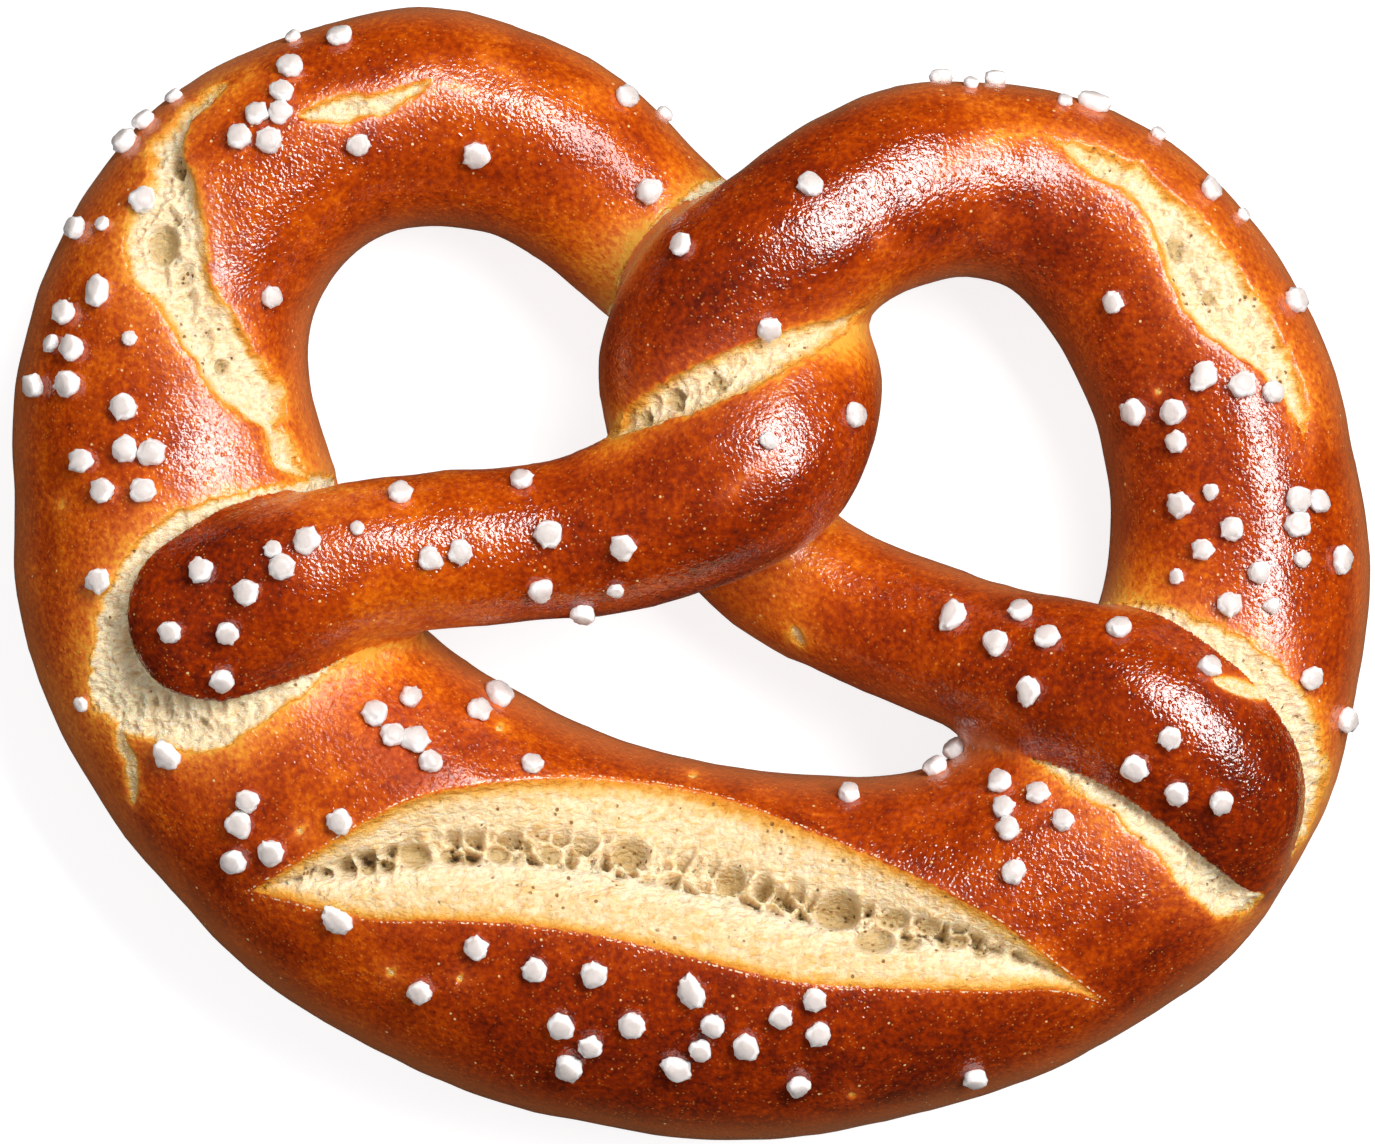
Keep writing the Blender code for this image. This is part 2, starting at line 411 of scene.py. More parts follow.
CRACKS = (
    Crack(((-67.4, -17.0), (-67.0, -20.6), (-66.0, -22.6), (-65.6, -27.6)), width=1.6, raw=1.0),
    Crack(((34.8, -20.2), (38.0, -21.2), (41.0, -22.6)), width=1.4, raw=0.3),
    Crack(((29.5, 47.0), (33.8, 49.8), (38.0, 51.6), (44.0, 51.6)), width=2.2, raw=0.5),
    Crack(((26.5, 57.5), (32.5, 56.0), (38.0, 54.6), (43.5, 53.2)), width=1.0, raw=0.2),
    Crack(((-31.0, 57.6), (-28.4, 57.6), (-25.0, 56.8)), width=1.3, raw=0.5),
    Crack(((10.6, 14.0), (7.2, 11.4), (3.6, 8.4)), width=0.8, raw=0.3),
    Crack(((-24.5, 61.0), (-21.0, 59.2), (-18.5, 58.0)), width=0.9, raw=0.2),
    Crack(((62.3, -12.6), (65.0, -13.4), (68.6, -14.8)), width=2.0, raw=1.0),
    Crack(((12.4, -6.4), (13.0, -7.8), (13.8, -8.8)), width=1.5, raw=0.9),
    Crack(((8.5, -26.0), (11.0, -27.0)), width=0.5, raw=0.2),
    Crack(((12.6, -27.8), (15.0, -28.4), (17.6, -29.6)), width=0.5, raw=0.2),
    Crack(((0.0, -24.0), (1.2, -24.2)), width=1.0, raw=0.8),
    Crack(((-46.3, -30.3), (-45.5, -31.0)), width=1.3, raw=0.8),
    Crack(((-35.5, -47.2), (-34.8, -47.8)), width=1.2, raw=0.9),
    Crack(((-27.3, -48.0), (-26.6, -48.3)), width=1.2, raw=0.9),
    Crack(((-22.7, -18.2), (-21.7, -18.6)), width=0.9, raw=0.9),
    Crack(((55.2, 21.6), (56.0, 21.1)), width=1.1, raw=0.8),
    Crack(((-74.4, 8.2), (-73.7, 7.8)), width=1.0, raw=0.7),
    Crack(((22.6, 38.6), (23.3, 39.4)), width=0.8, raw=0.4),
    Crack(((36.0, 41.6), (36.6, 42.0)), width=0.8, raw=0.4),
    Crack(((19.0, -61.8), (19.8, -61.9)), width=0.8, raw=0.8),
)


@dataclass(frozen=True)
class Tone:
    """A patch whose crust is darker than the rope around it, or lighter.

    Attributes:
        x: where its middle is seen.
        y: where its middle is seen.
        reach: how far it reaches from there, in millimetres.
        browner: how much darker it is, lighter if below 0.
        duller: how much of its gloss is lost, 0 to 1.
    """

    x: float
    y: float
    reach: float
    browner: float
    duller: float = 0.0


TONES = (
    Tone(-8.0, -60.0, 15.0, 0.17),
    Tone(-51.0, -42.0, 13.0, 0.15),
    Tone(25.0, -62.0, 15.0, 0.17),
    Tone(58.0, -46.0, 12.0, 0.22),
    Tone(78.0, -8.0, 12.0, 0.14),
    Tone(0.0, 31.0, 9.0, 0.06),
    Tone(5.0, 41.0, 6.0, -0.10),
    Tone(-14.0, 2.0, 9.0, 0.11),
    Tone(66.0, -24.0, 7.0, 0.12),
    Tone(-20.0, 53.0, 8.0, -0.05),
    Tone(-39.0, -17.0, 8.0, 0.04, 0.9),
    Tone(-33.0, -24.5, 5.0, 0.06, 0.5),
    Tone(-60.0, -29.0, 9.0, 0.14),
    Tone(-28.0, -20.0, 9.0, 0.0, 0.55),
    Tone(-9.5, 48.0, 8.0, 0.16, 0.5),
    Tone(41.5, 40.5, 6.5, 0.14, 0.5),
    Tone(-12.0, 57.5, 6.0, -0.14),
    Tone(36.0, 50.0, 5.0, -0.10),
    Tone(30.0, 40.0, 7.0, 0.10),
    Tone(-20.0, 47.0, 7.0, 0.06),
    Tone(53.0, 22.0, 8.0, 0.10, 0.3),
    Tone(-8.0, 17.0, 4.0, -0.22),
    Tone(19.0, 27.0, 4.0, -0.30),
    Tone(16.0, 0.0, 7.0, -0.10, 0.4),
    Tone(-28.0, -5.5, 6.0, -0.06),
    Tone(-38.0, -7.0, 5.0, -0.16),
    Tone(-53.0, 3.0, 7.0, 0.12),
    Tone(-20.0, 9.0, 10.0, 0.08),
    Tone(-8.0, 37.0, 6.0, -0.28),
    Tone(-43.0, 20.0, 5.0, -0.12),
    Tone(63.5, 6.0, 4.0, 0.06, 0.75),
    Tone(62.0, 14.0, 3.5, 0.04, 0.6),
    Tone(26.0, 33.0, 5.0, -0.22),
    Tone(50.0, -2.0, 5.0, -0.22),
    Tone(30.0, -8.0, 8.0, -0.04),
    Tone(-14.0, -6.0, 6.0, 0.08),
    Tone(1.0, -1.0, 6.0, 0.10),
)


@dataclass(frozen=True)
class Bubble:
    """A round hole left in the crumb by a large bubble of gas.

    Attributes:
        x: where its middle is seen.
        y: where its middle is seen.
        radius: half its width, in millimetres.
        depth: how deep it is, in millimetres.
        squash: its length in y as a share of its width.
    """

    x: float
    y: float
    radius: float
    depth: float
    squash: float = 1.0


BUBBLES = (
    Bubble(-6.4, -31.6, 2.3, 2.6, 0.8),
    Bubble(5.3, -34.6, 1.9, 2.8),
    Bubble(17.8, -39.2, 2.9, 3.4),
    Bubble(22.2, -43.5, 2.6, 2.3, 0.72),
    Bubble(26.4, -43.9, 1.4, 1.5, 0.9),
    Bubble(24.6, -40.6, 2.0, 1.2, 0.7),
    Bubble(28.8, -41.8, 1.5, 1.2, 0.8),
    Bubble(32.4, -44.0, 1.5, 1.2, 0.7),
    Bubble(-9.3, -33.0, 0.8, 0.9),
    Bubble(-12.6, -31.4, 0.8, 0.9),
    Bubble(-15.8, -32.3, 1.5, 0.9),
    Bubble(-18.9, -31.2, 1.0, 0.7),
    Bubble(-22.0, -32.7, 1.6, 1.0),
    Bubble(-25.7, -33.6, 1.0, 1.1),
    Bubble(-28.2, -33.4, 1.3, 1.4, 0.9),
    Bubble(-32.5, -33.6, 2.2, 1.7, 0.9),
    Bubble(-36.0, -35.2, 1.2, 1.3, 0.8),
    Bubble(-38.3, -35.6, 1.1, 1.1, 0.8),
    Bubble(9.4, -35.6, 1.3, 0.9, 0.8),
    Bubble(12.0, -36.8, 0.8, 0.8),
    Bubble(30.6, -44.2, 0.9, 1.0),
    Bubble(35.0, -45.6, 1.0, 1.0, 0.7),
    Bubble(-62.3, 39.0, 2.1, 2.2, 1.3),
    Bubble(-54.6, 24.4, 1.0, 1.2),
    Bubble(-60.6, 48.5, 1.1, 1.1, 1.4),
    Bubble(58.2, 38.6, 1.3, 1.2, 1.6),
    Bubble(62.0, 32.8, 1.0, 1.0),
    Bubble(-1.8, 20.4, 1.3, 0.7, 0.8),
    Bubble(-5.4, 18.4, 1.0, 0.6, 0.8),
    Bubble(3.4, 22.6, 1.1, 0.6, 0.8),
)


@dataclass(frozen=True)
class Web:
    """A strand of stretched dough that fills the crease where two ropes cross.

    Each place along it is x, y, the height of its middle, and its radius.
    """

    line: tuple[tuple[float, float, float, float], ...]


WEBS = (
    Web(((-8.0, 16.6, 20.0, 1.6), (-1.0, 20.4, 24.0, 3.4), (6.5, 24.0, 25.5, 4.0),
         (12.5, 26.8, 24.0, 3.2), (17.6, 29.4, 20.0, 1.6))),
)


class Grain(Enum):
    """The grades of coarse pretzel salt, each a share of a usual grain's size.

    A double is two grains run together.
    """

    SMALL = 0.66
    USUAL = 1.0
    DOUBLE = 1.02


@dataclass(frozen=True)
class Layout:
    """Turns route millimetres into the frame's metres and back.

    The tables of openings and salt hold places as they look from the eye, straight above the
    middle, on a level plane at sight_height.

    Attributes:
        unit: metres in the frame to one millimetre of the route.
        zero: where the route's own zero lies in the frame.
        eye: where the eye is on the route, in millimetres.
        sight_height: how high the plane is, in millimetres.
    """

    unit: float
    zero: Vector
    eye: tuple[float, float, float] = (0.45, 0.0, 1600.0)
    sight_height: float = 14.0

    def seen(self, places: Array) -> Array:
        """Finds where route places look to be on the plane.

        Args:
            places: route places, N by 3.

        Returns:
            Their x and y on the plane, N by 2.
        """
        across, height = np.array(self.eye[:2]), self.eye[2]
        reach = (height - self.sight_height) / (height - places[:, 2:3])
        return (places[:, :2] - across) * reach

    def sight(self, x: float, y: float) -> tuple[Vector, Vector]:
        """Finds the frame's ray from the eye to a place on the plane.

        Args:
            x: the place's x, in millimetres.
            y: the place's y, in millimetres.

        Returns:
            The ray's start and its unit run.
        """
        start = Vector(self.to_frame(np.array(self.eye)))
        end = Vector(self.to_frame(np.array([x + self.eye[0], y + self.eye[1], self.sight_height])))
        return start, (end - start).normalized()

    def to_frame(self, places: Array) -> Array:
        """Returns route places as frame places."""
        return places * self.unit + np.array(self.zero)

    def to_route(self, places: Array) -> Array:
        """Returns frame places as route places."""
        return (places - np.array(self.zero)) / self.unit


# ---------------------------------------------------------------------------------------------
# Lines, fields and small mesh tools
# ---------------------------------------------------------------------------------------------


def smooth_line(places: Sequence[Sequence[float]], step: float) -> Array:
    """Runs a smooth Catmull-Rom curve through places.

    Args:
        places: the places it passes through, of any number of numbers each.
        step: how far apart its points are, measured over their first two numbers.

    Returns:
        The curve's points, with an equal count of numbers each.
    """
    given = np.array(places, float)
    ends = np.vstack([2 * given[0] - given[1], given, 2 * given[-1] - given[-2]])
    points = []
    for before, start, end, after in zip(ends[:-3], ends[1:-2], ends[2:-1], ends[3:]):
        count = max(1, round(float(np.linalg.norm((end - start)[:2])) / step))
        for share in np.arange(count)[:, None] / count:
            points.append(
                0.5 * (
                    2 * start
                    + (end - before) * share
                    + (2 * before - 5 * start + 4 * end - after) * share**2
                    + (3 * start - before - 3 * end + after) * share**3
                )
            )
    return np.vstack([*points, given[-1]])


def directions(line: Array) -> Array:
    """Finds which way a line runs, seen from above.

    Args:
        line: the line's points, their first two numbers x and y.

    Returns:
        The unit direction at each point, N by 2.
    """
    runs = np.gradient(line[:, :2], axis=0)
    runs /= np.linalg.norm(runs, axis=1, keepdims=True)
    return runs


def smoothstep(values: Array, low: float, high: float) -> Array:
    """Returns 0 below low, 1 above high, and an easy curve between."""
    share = np.clip((values - low) / (high - low), 0.0, 1.0)
    return share * share * (3.0 - 2.0 * share)


def hill(values: Array, middle: float, reach: float, power: int = 2) -> Array:
    """Returns 1 where values are at the middle, falling to 0 past the reach on either side."""
    return np.exp(-(((values - middle) / reach) ** power))


def distance_to_line(places: Array, line: Array) -> tuple[Array, Array]:
    """Measures how far places are from a line of short pieces, seen from above.

    Args:
        places: an N by 2 array.
        line: the line's points, M by 2.

    Returns:
        The distance, and how far along the line the nearest point is, 0 to 1.
    """
    best = np.full(len(places), np.inf)
    where = np.zeros(len(places))
    for index, (start, end) in enumerate(zip(line[:-1], line[1:])):
        run = end - start
        share = np.clip(((places - start) @ run) / max(float(run @ run), TINY * TINY), 0.0, 1.0)
        gap = np.hypot(*(places - start - share[:, None] * run).T)
        closer = gap < best
        best[closer] = gap[closer]
        where[closer] = (index + share[closer]) / (len(line) - 1)
    return best, where


def inside_outline(places: Array, outline: Array) -> Array:
    """Finds which places lie inside a closed outline, seen from above.

    Args:
        places: an N by 2 array.
        outline: the outline's corners, M by 2.

    Returns:
        True for each place inside.
    """
    x, y = places.T
    crossings = np.zeros(len(places), int)
    for (ax, ay), (bx, by) in zip(outline, np.roll(outline, -1, axis=0)):
        spans = (ay > y) != (by > y)
        if spans.any():
            meet = ax + (y[spans] - ay) * (bx - ax) / (by - ay)
            crossings[spans] += x[spans] < meet
    return crossings % 2 == 1


def sampled(places: Array, sample: Callable[[Vector], float]) -> Array:
    """Returns what a function of one place gives at each place."""
    return np.fromiter((sample(Vector(place)) for place in places), float, len(places))


@dataclass(frozen=True)
class Unevenness:
    """A soft, random rise and fall over the dough.

    Attributes:
        size: how wide its lumps are, in millimetres.
        height: how far it rises and falls.
        seed: what sets it apart from the others.
        octaves: how many layers it has, each finer than the last.
        softness: how much weaker each layer is than the last.
    """

    size: float
    height: float
    seed: float = 0.0
    octaves: int = 1
    softness: float = 1.0

    def _sample(self, place: Vector) -> float:
        """Reads its noise.

        Args:
            place: where, in widths of a lump.

        Returns:
            Its value there, about -1 to 1.
        """
        if self.octaves == 1:
            return noise.noise(place)
        return noise.fractal(place, self.softness, LACUNARITY, self.octaves)

    def at(self, places: Array) -> Array:
        """Returns how far it rises at each place."""
        return sampled(places / self.size + self.seed, self._sample) * self.height


@dataclass(frozen=True)
class Foam:
    """A pattern of cells in the crumb.

    Attributes:
        size: how wide a cell is, in millimetres.
        stretch: how much wider it is the other ways.
        seed: what sets it apart from the others.
        wall: the distance from its walls within which it isn't hollow, as a share of the size.
        bowl: the distance from its walls at which it is deepest, as a share of the size.
    """

    size: float
    stretch: float
    seed: float
    wall: float
    bowl: float

    @staticmethod
    def _wall_distance(place: Vector) -> float:
        """Returns how far a place is from the wall between two cells."""
        distances, _ = noise.voronoi(place)
        return distances[1] - distances[0]

    def at(self, places: Array) -> Array:
        """Returns how hollow it is at each place, 0 at a wall to 1 in a cell."""
        scaled = places * np.array([1.0, 1.0 / self.stretch, 1.0 / self.stretch]) / self.size + self.seed
        return smoothstep(sampled(scaled, self._wall_distance), self.wall, self.bowl)


def select_only(*pieces: bpy.types.Object) -> None:
    """Selects these pieces and nothing else, the first of them active.

    Args:
        *pieces: what is selected.
    """
    bpy.ops.object.select_all(action="DESELECT")
    for piece in pieces:
        piece.select_set(True)
    bpy.context.view_layer.objects.active = pieces[0]


def apply_modifier(piece: bpy.types.Object, kind: str, **settings: Any) -> None:
    """Adds a modifier to a piece and applies it.

    Args:
        piece: the piece it works on.
        kind: the modifier's type, such as REMESH.
        **settings: its values.
    """
    select_only(piece)
    modifier = piece.modifiers.new(kind.title(), kind)
    for name, value in settings.items():
        setattr(modifier, name, value)
    bpy.ops.object.modifier_apply(modifier=modifier.name)


def joined(pieces: Sequence[bpy.types.Object], name: str) -> bpy.types.Object:
    """Joins pieces into one that sits at the origin, unturned and unscaled.

    Args:
        pieces: the pieces.
        name: the name of the piece that they become.

    Returns:
        The one piece, which is the first of them.
    """
    select_only(*pieces)
    bpy.ops.object.join()
    piece = bpy.context.object
    piece.name = piece.data.name = name
    bpy.ops.object.transform_apply(location=True, rotation=True, scale=True)
    return piece


def vertex_places(mesh: bpy.types.Mesh) -> Array:
    """Reads where a mesh's vertices are.

    Args:
        mesh: the mesh.

    Returns:
        Their places, N by 3.
    """
    flat = np.empty(len(mesh.vertices) * 3)
    mesh.vertices.foreach_get("co", flat)
    return flat.reshape(-1, 3)


def vertex_normals(mesh: bpy.types.Mesh) -> Array:
    """Reads which way a mesh's vertices face.

    Args:
        mesh: the mesh.

    Returns:
        Their normals, N by 3.
    """
    flat = np.empty(len(mesh.vertices) * 3)
    mesh.vertex_normals.foreach_get("vector", flat)
    return flat.reshape(-1, 3)


def move_vertices(mesh: bpy.types.Mesh, places: Array) -> None:
    """Puts a mesh's vertices at new places."""
    mesh.vertices.foreach_set("co", places.ravel())
    mesh.update()


def keep_on_vertices(mesh: bpy.types.Mesh, name: str, values: Array) -> None:
    """Stores one number a vertex under a name, for the finish to read."""
    attribute = mesh.attributes.new(name, "FLOAT", "POINT")
    attribute.data.foreach_set("value", values.astype(np.float32))


# ---------------------------------------------------------------------------------------------
# The bread
# ---------------------------------------------------------------------------------------------


@dataclass
class Spot:
    """Where each vertex of the bread sits on the rope.

    Attributes:
        ring: the number of the nearest ring.
        up: how far above the ring's middle it is, as a share of the half height.
        along: how far along the rope it is, in millimetres.
        around: how far round the rope it is from the top, in millimetres.
    """

    ring: Array
    up: Array
    along: Array
    around: Array


@dataclass
class Reading:
    """What one opening is like at each vertex of the bread.

    Attributes:
        inward: how far inside the opening a vertex is, in millimetres, negative outside.
        across: 0 at the upper edge to 1 at the lower edge.
        span: the opening's width there, in millimetres.
        upper: whether the upper edge is the nearer one.
        live: whether the vertex belongs to the opening's own rope and faces up.
    """

    inward: Array
    across: Array
    span: Array
    upper: Array
    live: Array


@dataclass
class Skin:
    """The bread's skin at each vertex, while the openings are worked into it.

    Attributes:
        places: where the vertices are on the route, in millimetres.
        normals: which way they face.
        flat: where they are seen, in millimetres.
        inward: how far inside an opening each is, in millimetres, negative outside.
        move: how far it goes along its normal, in millimetres.
        glow: how golden the crust is, 0 to 1.
        lip: how near the slash's edge is, 0 to 1.
        raw: how pale the crumb is, 0 to 1.
        valley: how deep the crumb's large cells are, 0 to 1.
        pit_shade: how shaded a hole is, 0 to 1.
        clear: 0 where a bubble leaves no room for cells, to 1.
    """

    places: Array
    normals: Array
    flat: Array
    inward: Array = field(init=False)
    move: Array = field(init=False)
    glow: Array = field(init=False)
    lip: Array = field(init=False)
    raw: Array = field(init=False)
    valley: Array = field(init=False)
    pit_shade: Array = field(init=False)
    clear: Array = field(init=False)

    def __post_init__(self) -> None:
        """Starts with whole crust all over."""
        count = len(self.places)
        self.inward = np.full(count, FAR_OUTSIDE)
        self.move, self.glow, self.lip, self.raw, self.valley, self.pit_shade = np.zeros((6, count))
        self.clear = np.ones(count)


@dataclass
class Bread:
    """The baked rope with its openings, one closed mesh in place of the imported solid.

    Sizes are millimetres on the route. Shades, glows and fades are shares of full.
    """

    # The rope and how it is fused.
    rope_sides: int = 32
    rope_step: float = 1.4
    tip_rings: int = 9
    tip_turn: float = 88.0
    tip_bluntness: float = 0.62
    tip_reach: float = 0.84
    settle: float = 0.42
    tray_rounding: float = 1.2
    fuse_voxel: float = 1.30
    smoothing: float = 0.5
    seam_smoothing: int = 9
    batch: int = 4000
    axis_drop: float = 0.3
    # The openings and cracks.
    facing_up: float = 0.02
    edge_step: float = 1.0
    crack_step: float = 0.6
    refine_reaches: tuple[float, ...] = (1.5, 0.5)
    ragged_reach: float = 2.0
    tatter: Unevenness = Unevenness(2.6, 0.6, octaves=3, softness=0.8)
    lip_width: float = 0.9
    lip_fade: Range = (0.6, 1.4)
    glow_span: float = 2.0
    crack_cream: float = 5.0
    crack_wall: Range = (-0.3, 0.5)
    crack_depth: float = 0.4
    crack_glow: Range = (0.35, 0.85)
    crack_glow_reach: float = 1.2
    # The bubbles and the crumb's cells.
    crumb_wall: Range = (0.0, 0.5)
    large_bubble: float = 1.4
    bubble_rim: float = 0.22
    bubble_rim_at: float = 1.12
    bubble_rim_reach: float = 0.14
    bubble_shade: Range = (0.1, 0.8)
    bubble_room: Range = (0.9, 1.2)
    large_cells: Foam = Foam(2.3, 1.6, 3.0, 0.05, 0.36)
    large_depth: float = 2.6
    large_shade: float = 0.75
    small_cells: Foam = Foam(0.95, 1.1, 9.0, 0.08, 0.45)
    small_depth: float = 0.14
    small_valley_depth: float = 0.40
    small_raw_depth: float = 0.3
    small_shade: float = 0.12
    rough: Unevenness = Unevenness(1.9, 1.0, 17.0, octaves=3)
    rough_depth: float = 0.2
    rough_raw_depth: float = 0.3
    shade_limit: float = 0.8
    # The crust.
    lumps: tuple[Unevenness, ...] = (Unevenness(15.0, 0.55), Unevenness(5.0, 0.16, 40.0))
    lump_heights: Range = (0.5, 6.0)
    patches: tuple[Unevenness, ...] = (
        Unevenness(21.0, 0.10, 7.0), Unevenness(6.5, 0.10, 90.0, octaves=3)
    )
    crown: Range = (-0.5, 0.9)
    crown_middle: float = 0.6
    crown_browning: float = 0.10
    # Where the painted sheen on the low flanks lies: how far down the rope, and below which heights.
    edge_sheen_ups: Range = (0.10, 0.66)
    edge_sheen_heights: Range = (20.0, 27.0)
    under_heights: Range = (0.6, 3.0)
    kept_reach: float = 12.0
    # What is worked out from them.
    line: Array = field(init=False)
    line_stretch: Array = field(init=False)
    layout: Layout = field(init=False)

    def __post_init__(self) -> None:
        """Works out the rope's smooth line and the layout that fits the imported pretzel."""
        stations = [station for stretch in Stretch for station in ROUTE[stretch]]
        self.line = smooth_line(stations, self.rope_step)
        first = np.array([ROUTE[stretch][0][:2] for stretch in Stretch])
        starts = [int(np.argmin(np.hypot(*(self.line[:, :2] - start).T))) for start in first]
        ring = np.arange(len(self.line))
        self.line_stretch = np.searchsorted(np.array(starts), ring, side="right") - 1
        self.layout = self._fitted_layout()

    def _fitted_layout(self) -> Layout:
        """Fits the rope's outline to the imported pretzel's box.

        Returns:
            The layout that does.
        """
        middle, half = self.line[:, :2], self.line[:, 2:3] / 2
        reach = half * np.abs(directions(middle)[:, ::-1])
        low, high = (middle - reach).min(axis=0), (middle + reach).max(axis=0)
        cad_low, cad_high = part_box(NODE)
        unit = (cad_high.x - cad_low.x) / (high[0] - low[0])
        cad_centre = (cad_low + cad_high) / 2
        return Layout(unit, Vector((cad_centre.x - Layout.eye[0] * unit, cad_centre.y, cad_low.z)))

    def build(self) -> bpy.types.Object:
        """Makes the bread.

        Returns:
            The finished piece.
        """
        strands = [self._rolled("rope", self._rope_rings(), flatten=True)]
        for number, web in enumerate(WEBS):
            rings = smooth_line(web.line, self.rope_step)
            strands.append(self._rolled(f"web_{number}", rings))
        bread = joined(strands, "bread")
        voxel = self.fuse_voxel * self.layout.unit
        apply_modifier(bread, "REMESH", mode="VOXEL", voxel_size=voxel)
        apply_modifier(bread, "SMOOTH", factor=self.smoothing, iterations=self.seam_smoothing)
        self._settle_on_tray(bread)
        for reach in self.refine_reaches:
            self._refine(bread, reach)
        self._sculpt(bread)
        select_only(bread)
        bpy.ops.object.shade_smooth()
        LOG.info("bread: %d faces", len(bread.data.polygons))
        return bread

    def _middles(self) -> Array:
        """Returns the middle of each of the rope's rings."""
        x, y, _, height, lift = self.line[:, :5].T
        return np.column_stack([x, y, self.settle * height + lift])

    def _rope_rings(self) -> Array:
        """Lays out the rope's rings, with rounded tips.

        Returns:
            Each ring's x, y, z, radius and height share.
        """
        width, height = self.line[:, 2:4].T
        rings = np.column_stack([self._middles(), width / 2, height / width])
        return np.vstack([self._tip(rings[0], rings[1])[::-1], rings, self._tip(rings[-1], rings[-2])])

    def _tip(self, last: Array, before: Array) -> Array:
        """Rounds off an end of the rope.

        Args:
            last: the rope's last ring.
            before: the ring before it.

        Returns:
            The tip's rings, from the last ring outwards.
        """
        away = (last[:3] - before[:3]) / np.linalg.norm(last[:3] - before[:3])
        turns = np.arange(1, self.tip_rings + 1) / self.tip_rings * math.radians(self.tip_turn)
        tip = np.repeat(last[None, :], self.tip_rings, axis=0)
        tip[:, :3] += away * (np.sin(turns) ** self.tip_bluntness * last[3] * self.tip_reach)[:, None]
        tip[:, 3] = np.cos(turns) ** self.tip_bluntness * last[3]
        return tip

    def _rolled(self, name: str, rings: Array, flatten: bool = False) -> bpy.types.Object:
        """Rolls a strand of dough along a line of rings.

        Args:
            name: the strand's name.
            rings: x, y, z and radius of each ring and, to flatten, its height share.
            flatten: whether the rings are pressed to their height share.

        Returns:
            The strand as a closed mesh.
        """
        bpy.ops.curve.primitive_bezier_curve_add()
        strand = bpy.context.object
        strand.name = name
        curve = strand.data
        curve.dimensions = "3D"
        curve.twist_mode = "Z_UP"
        curve.splines.clear()
        spline = curve.splines.new("POLY")
        spline.points.add(len(rings) - 1)
        places = self.layout.to_frame(rings[:, :3])
        spline.points.foreach_set("co", np.column_stack([places, np.ones(len(rings))]).ravel())
        spline.points.foreach_set("radius", rings[:, 3])
        curve.bevel_depth = self.layout.unit
        # A bevel has four sides and two more for each step of its resolution.
        curve.bevel_resolution = (self.rope_sides - 4) // 2
        curve.use_fill_caps = True
        select_only(strand)
        bpy.ops.object.convert(target="MESH")
        if flatten:
            around = vertex_places(strand.data)
            ring = np.minimum(np.arange(len(around)) // self.rope_sides, len(rings) - 1)
            middle = places[ring, 2]
            around[:, 2] = middle + (around[:, 2] - middle) * rings[ring, 4]
            move_vertices(strand.data, around)
        return strand

    def _settle_on_tray(self, bread: bpy.types.Object) -> None:
        """Flattens what would reach below the tray, with a rounded rim to the flat.

        Args:
            bread: the piece.
        """
        places = self.layout.to_route(vertex_places(bread.data))
        height = places[:, 2]
        places[:, 2] = (height + np.sqrt(height**2 + self.tray_rounding**2)) / 2
        move_vertices(bread.data, self.layout.to_frame(places))

    def _on_rope(self, places: Array) -> Spot:
        """Finds where places sit on the rope.

        Args:
            places: route places, N by 3.

        Returns:
            Their spots.
        """
        middle = self._middles()
        half = self.line[:, [2, 2, 3]] / 2
        along = directions(middle)
        ring = self._nearest_ring(places, middle, half, along)
        left = np.column_stack([-along[:, 1], along[:, 0]])[ring]
        gap = (places - middle[ring]) / half[ring]
        side, up = (gap[:, :2] * left).sum(axis=1), gap[:, 2]
        past = self._past_ring(places, middle, along, ring)
        towards = np.clip(ring + np.where(past > 0, 1, -1), 0, len(middle) - 1)
        beyond = np.abs(self._past_ring(places, middle, along, towards))
        steps = np.linalg.norm(np.diff(middle, axis=0), axis=1)
        length = np.concatenate([[0.0], np.cumsum(steps)])
        share = np.abs(past) / np.maximum(np.abs(past) + beyond, TINY)
        step = np.where(towards == ring, past, share * (length[towards] - length[ring]))
        around = np.arctan2(side, up + self.axis_drop) * half[ring, 0]
        return Spot(ring, up, length[ring] + step, around)

    def _nearest_ring(self, places: Array, middle: Array, half: Array, along: Array) -> Array:
        """Finds the ring that each place is nearest to, for the ring's size.

        Args:
            places: route places, N by 3.
            middle: the rings' middles.
            half: half their size along x, y and z.
            along: which way the rope runs at them.

        Returns:
            The ring's number for each place.
        """
        nearest = np.zeros(len(places), int)
        for start in range(0, len(places), self.batch):
            gap = (places[start:start + self.batch, None, :] - middle[None]) / half[None]
            distance = (gap**2).sum(axis=2)
            for end, outwards in ((0, -1.0), (-1, 1.0)):
                past = np.maximum((gap[:, end, :2] * along[end]).sum(axis=1) * outwards, 0.0)
                distance[:, end] += past**2 * (1.0 / self.tip_reach**2 - 1.0)
            nearest[start:start + self.batch] = np.argmin(distance, axis=1)
        return nearest

    @staticmethod
    def _past_ring(places: Array, middle: Array, along: Array, ring: Array) -> Array:
        """Returns how far places lie past a ring's plane, along the rope."""
        return ((places[:, :2] - middle[ring, :2]) * along[ring]).sum(axis=1)

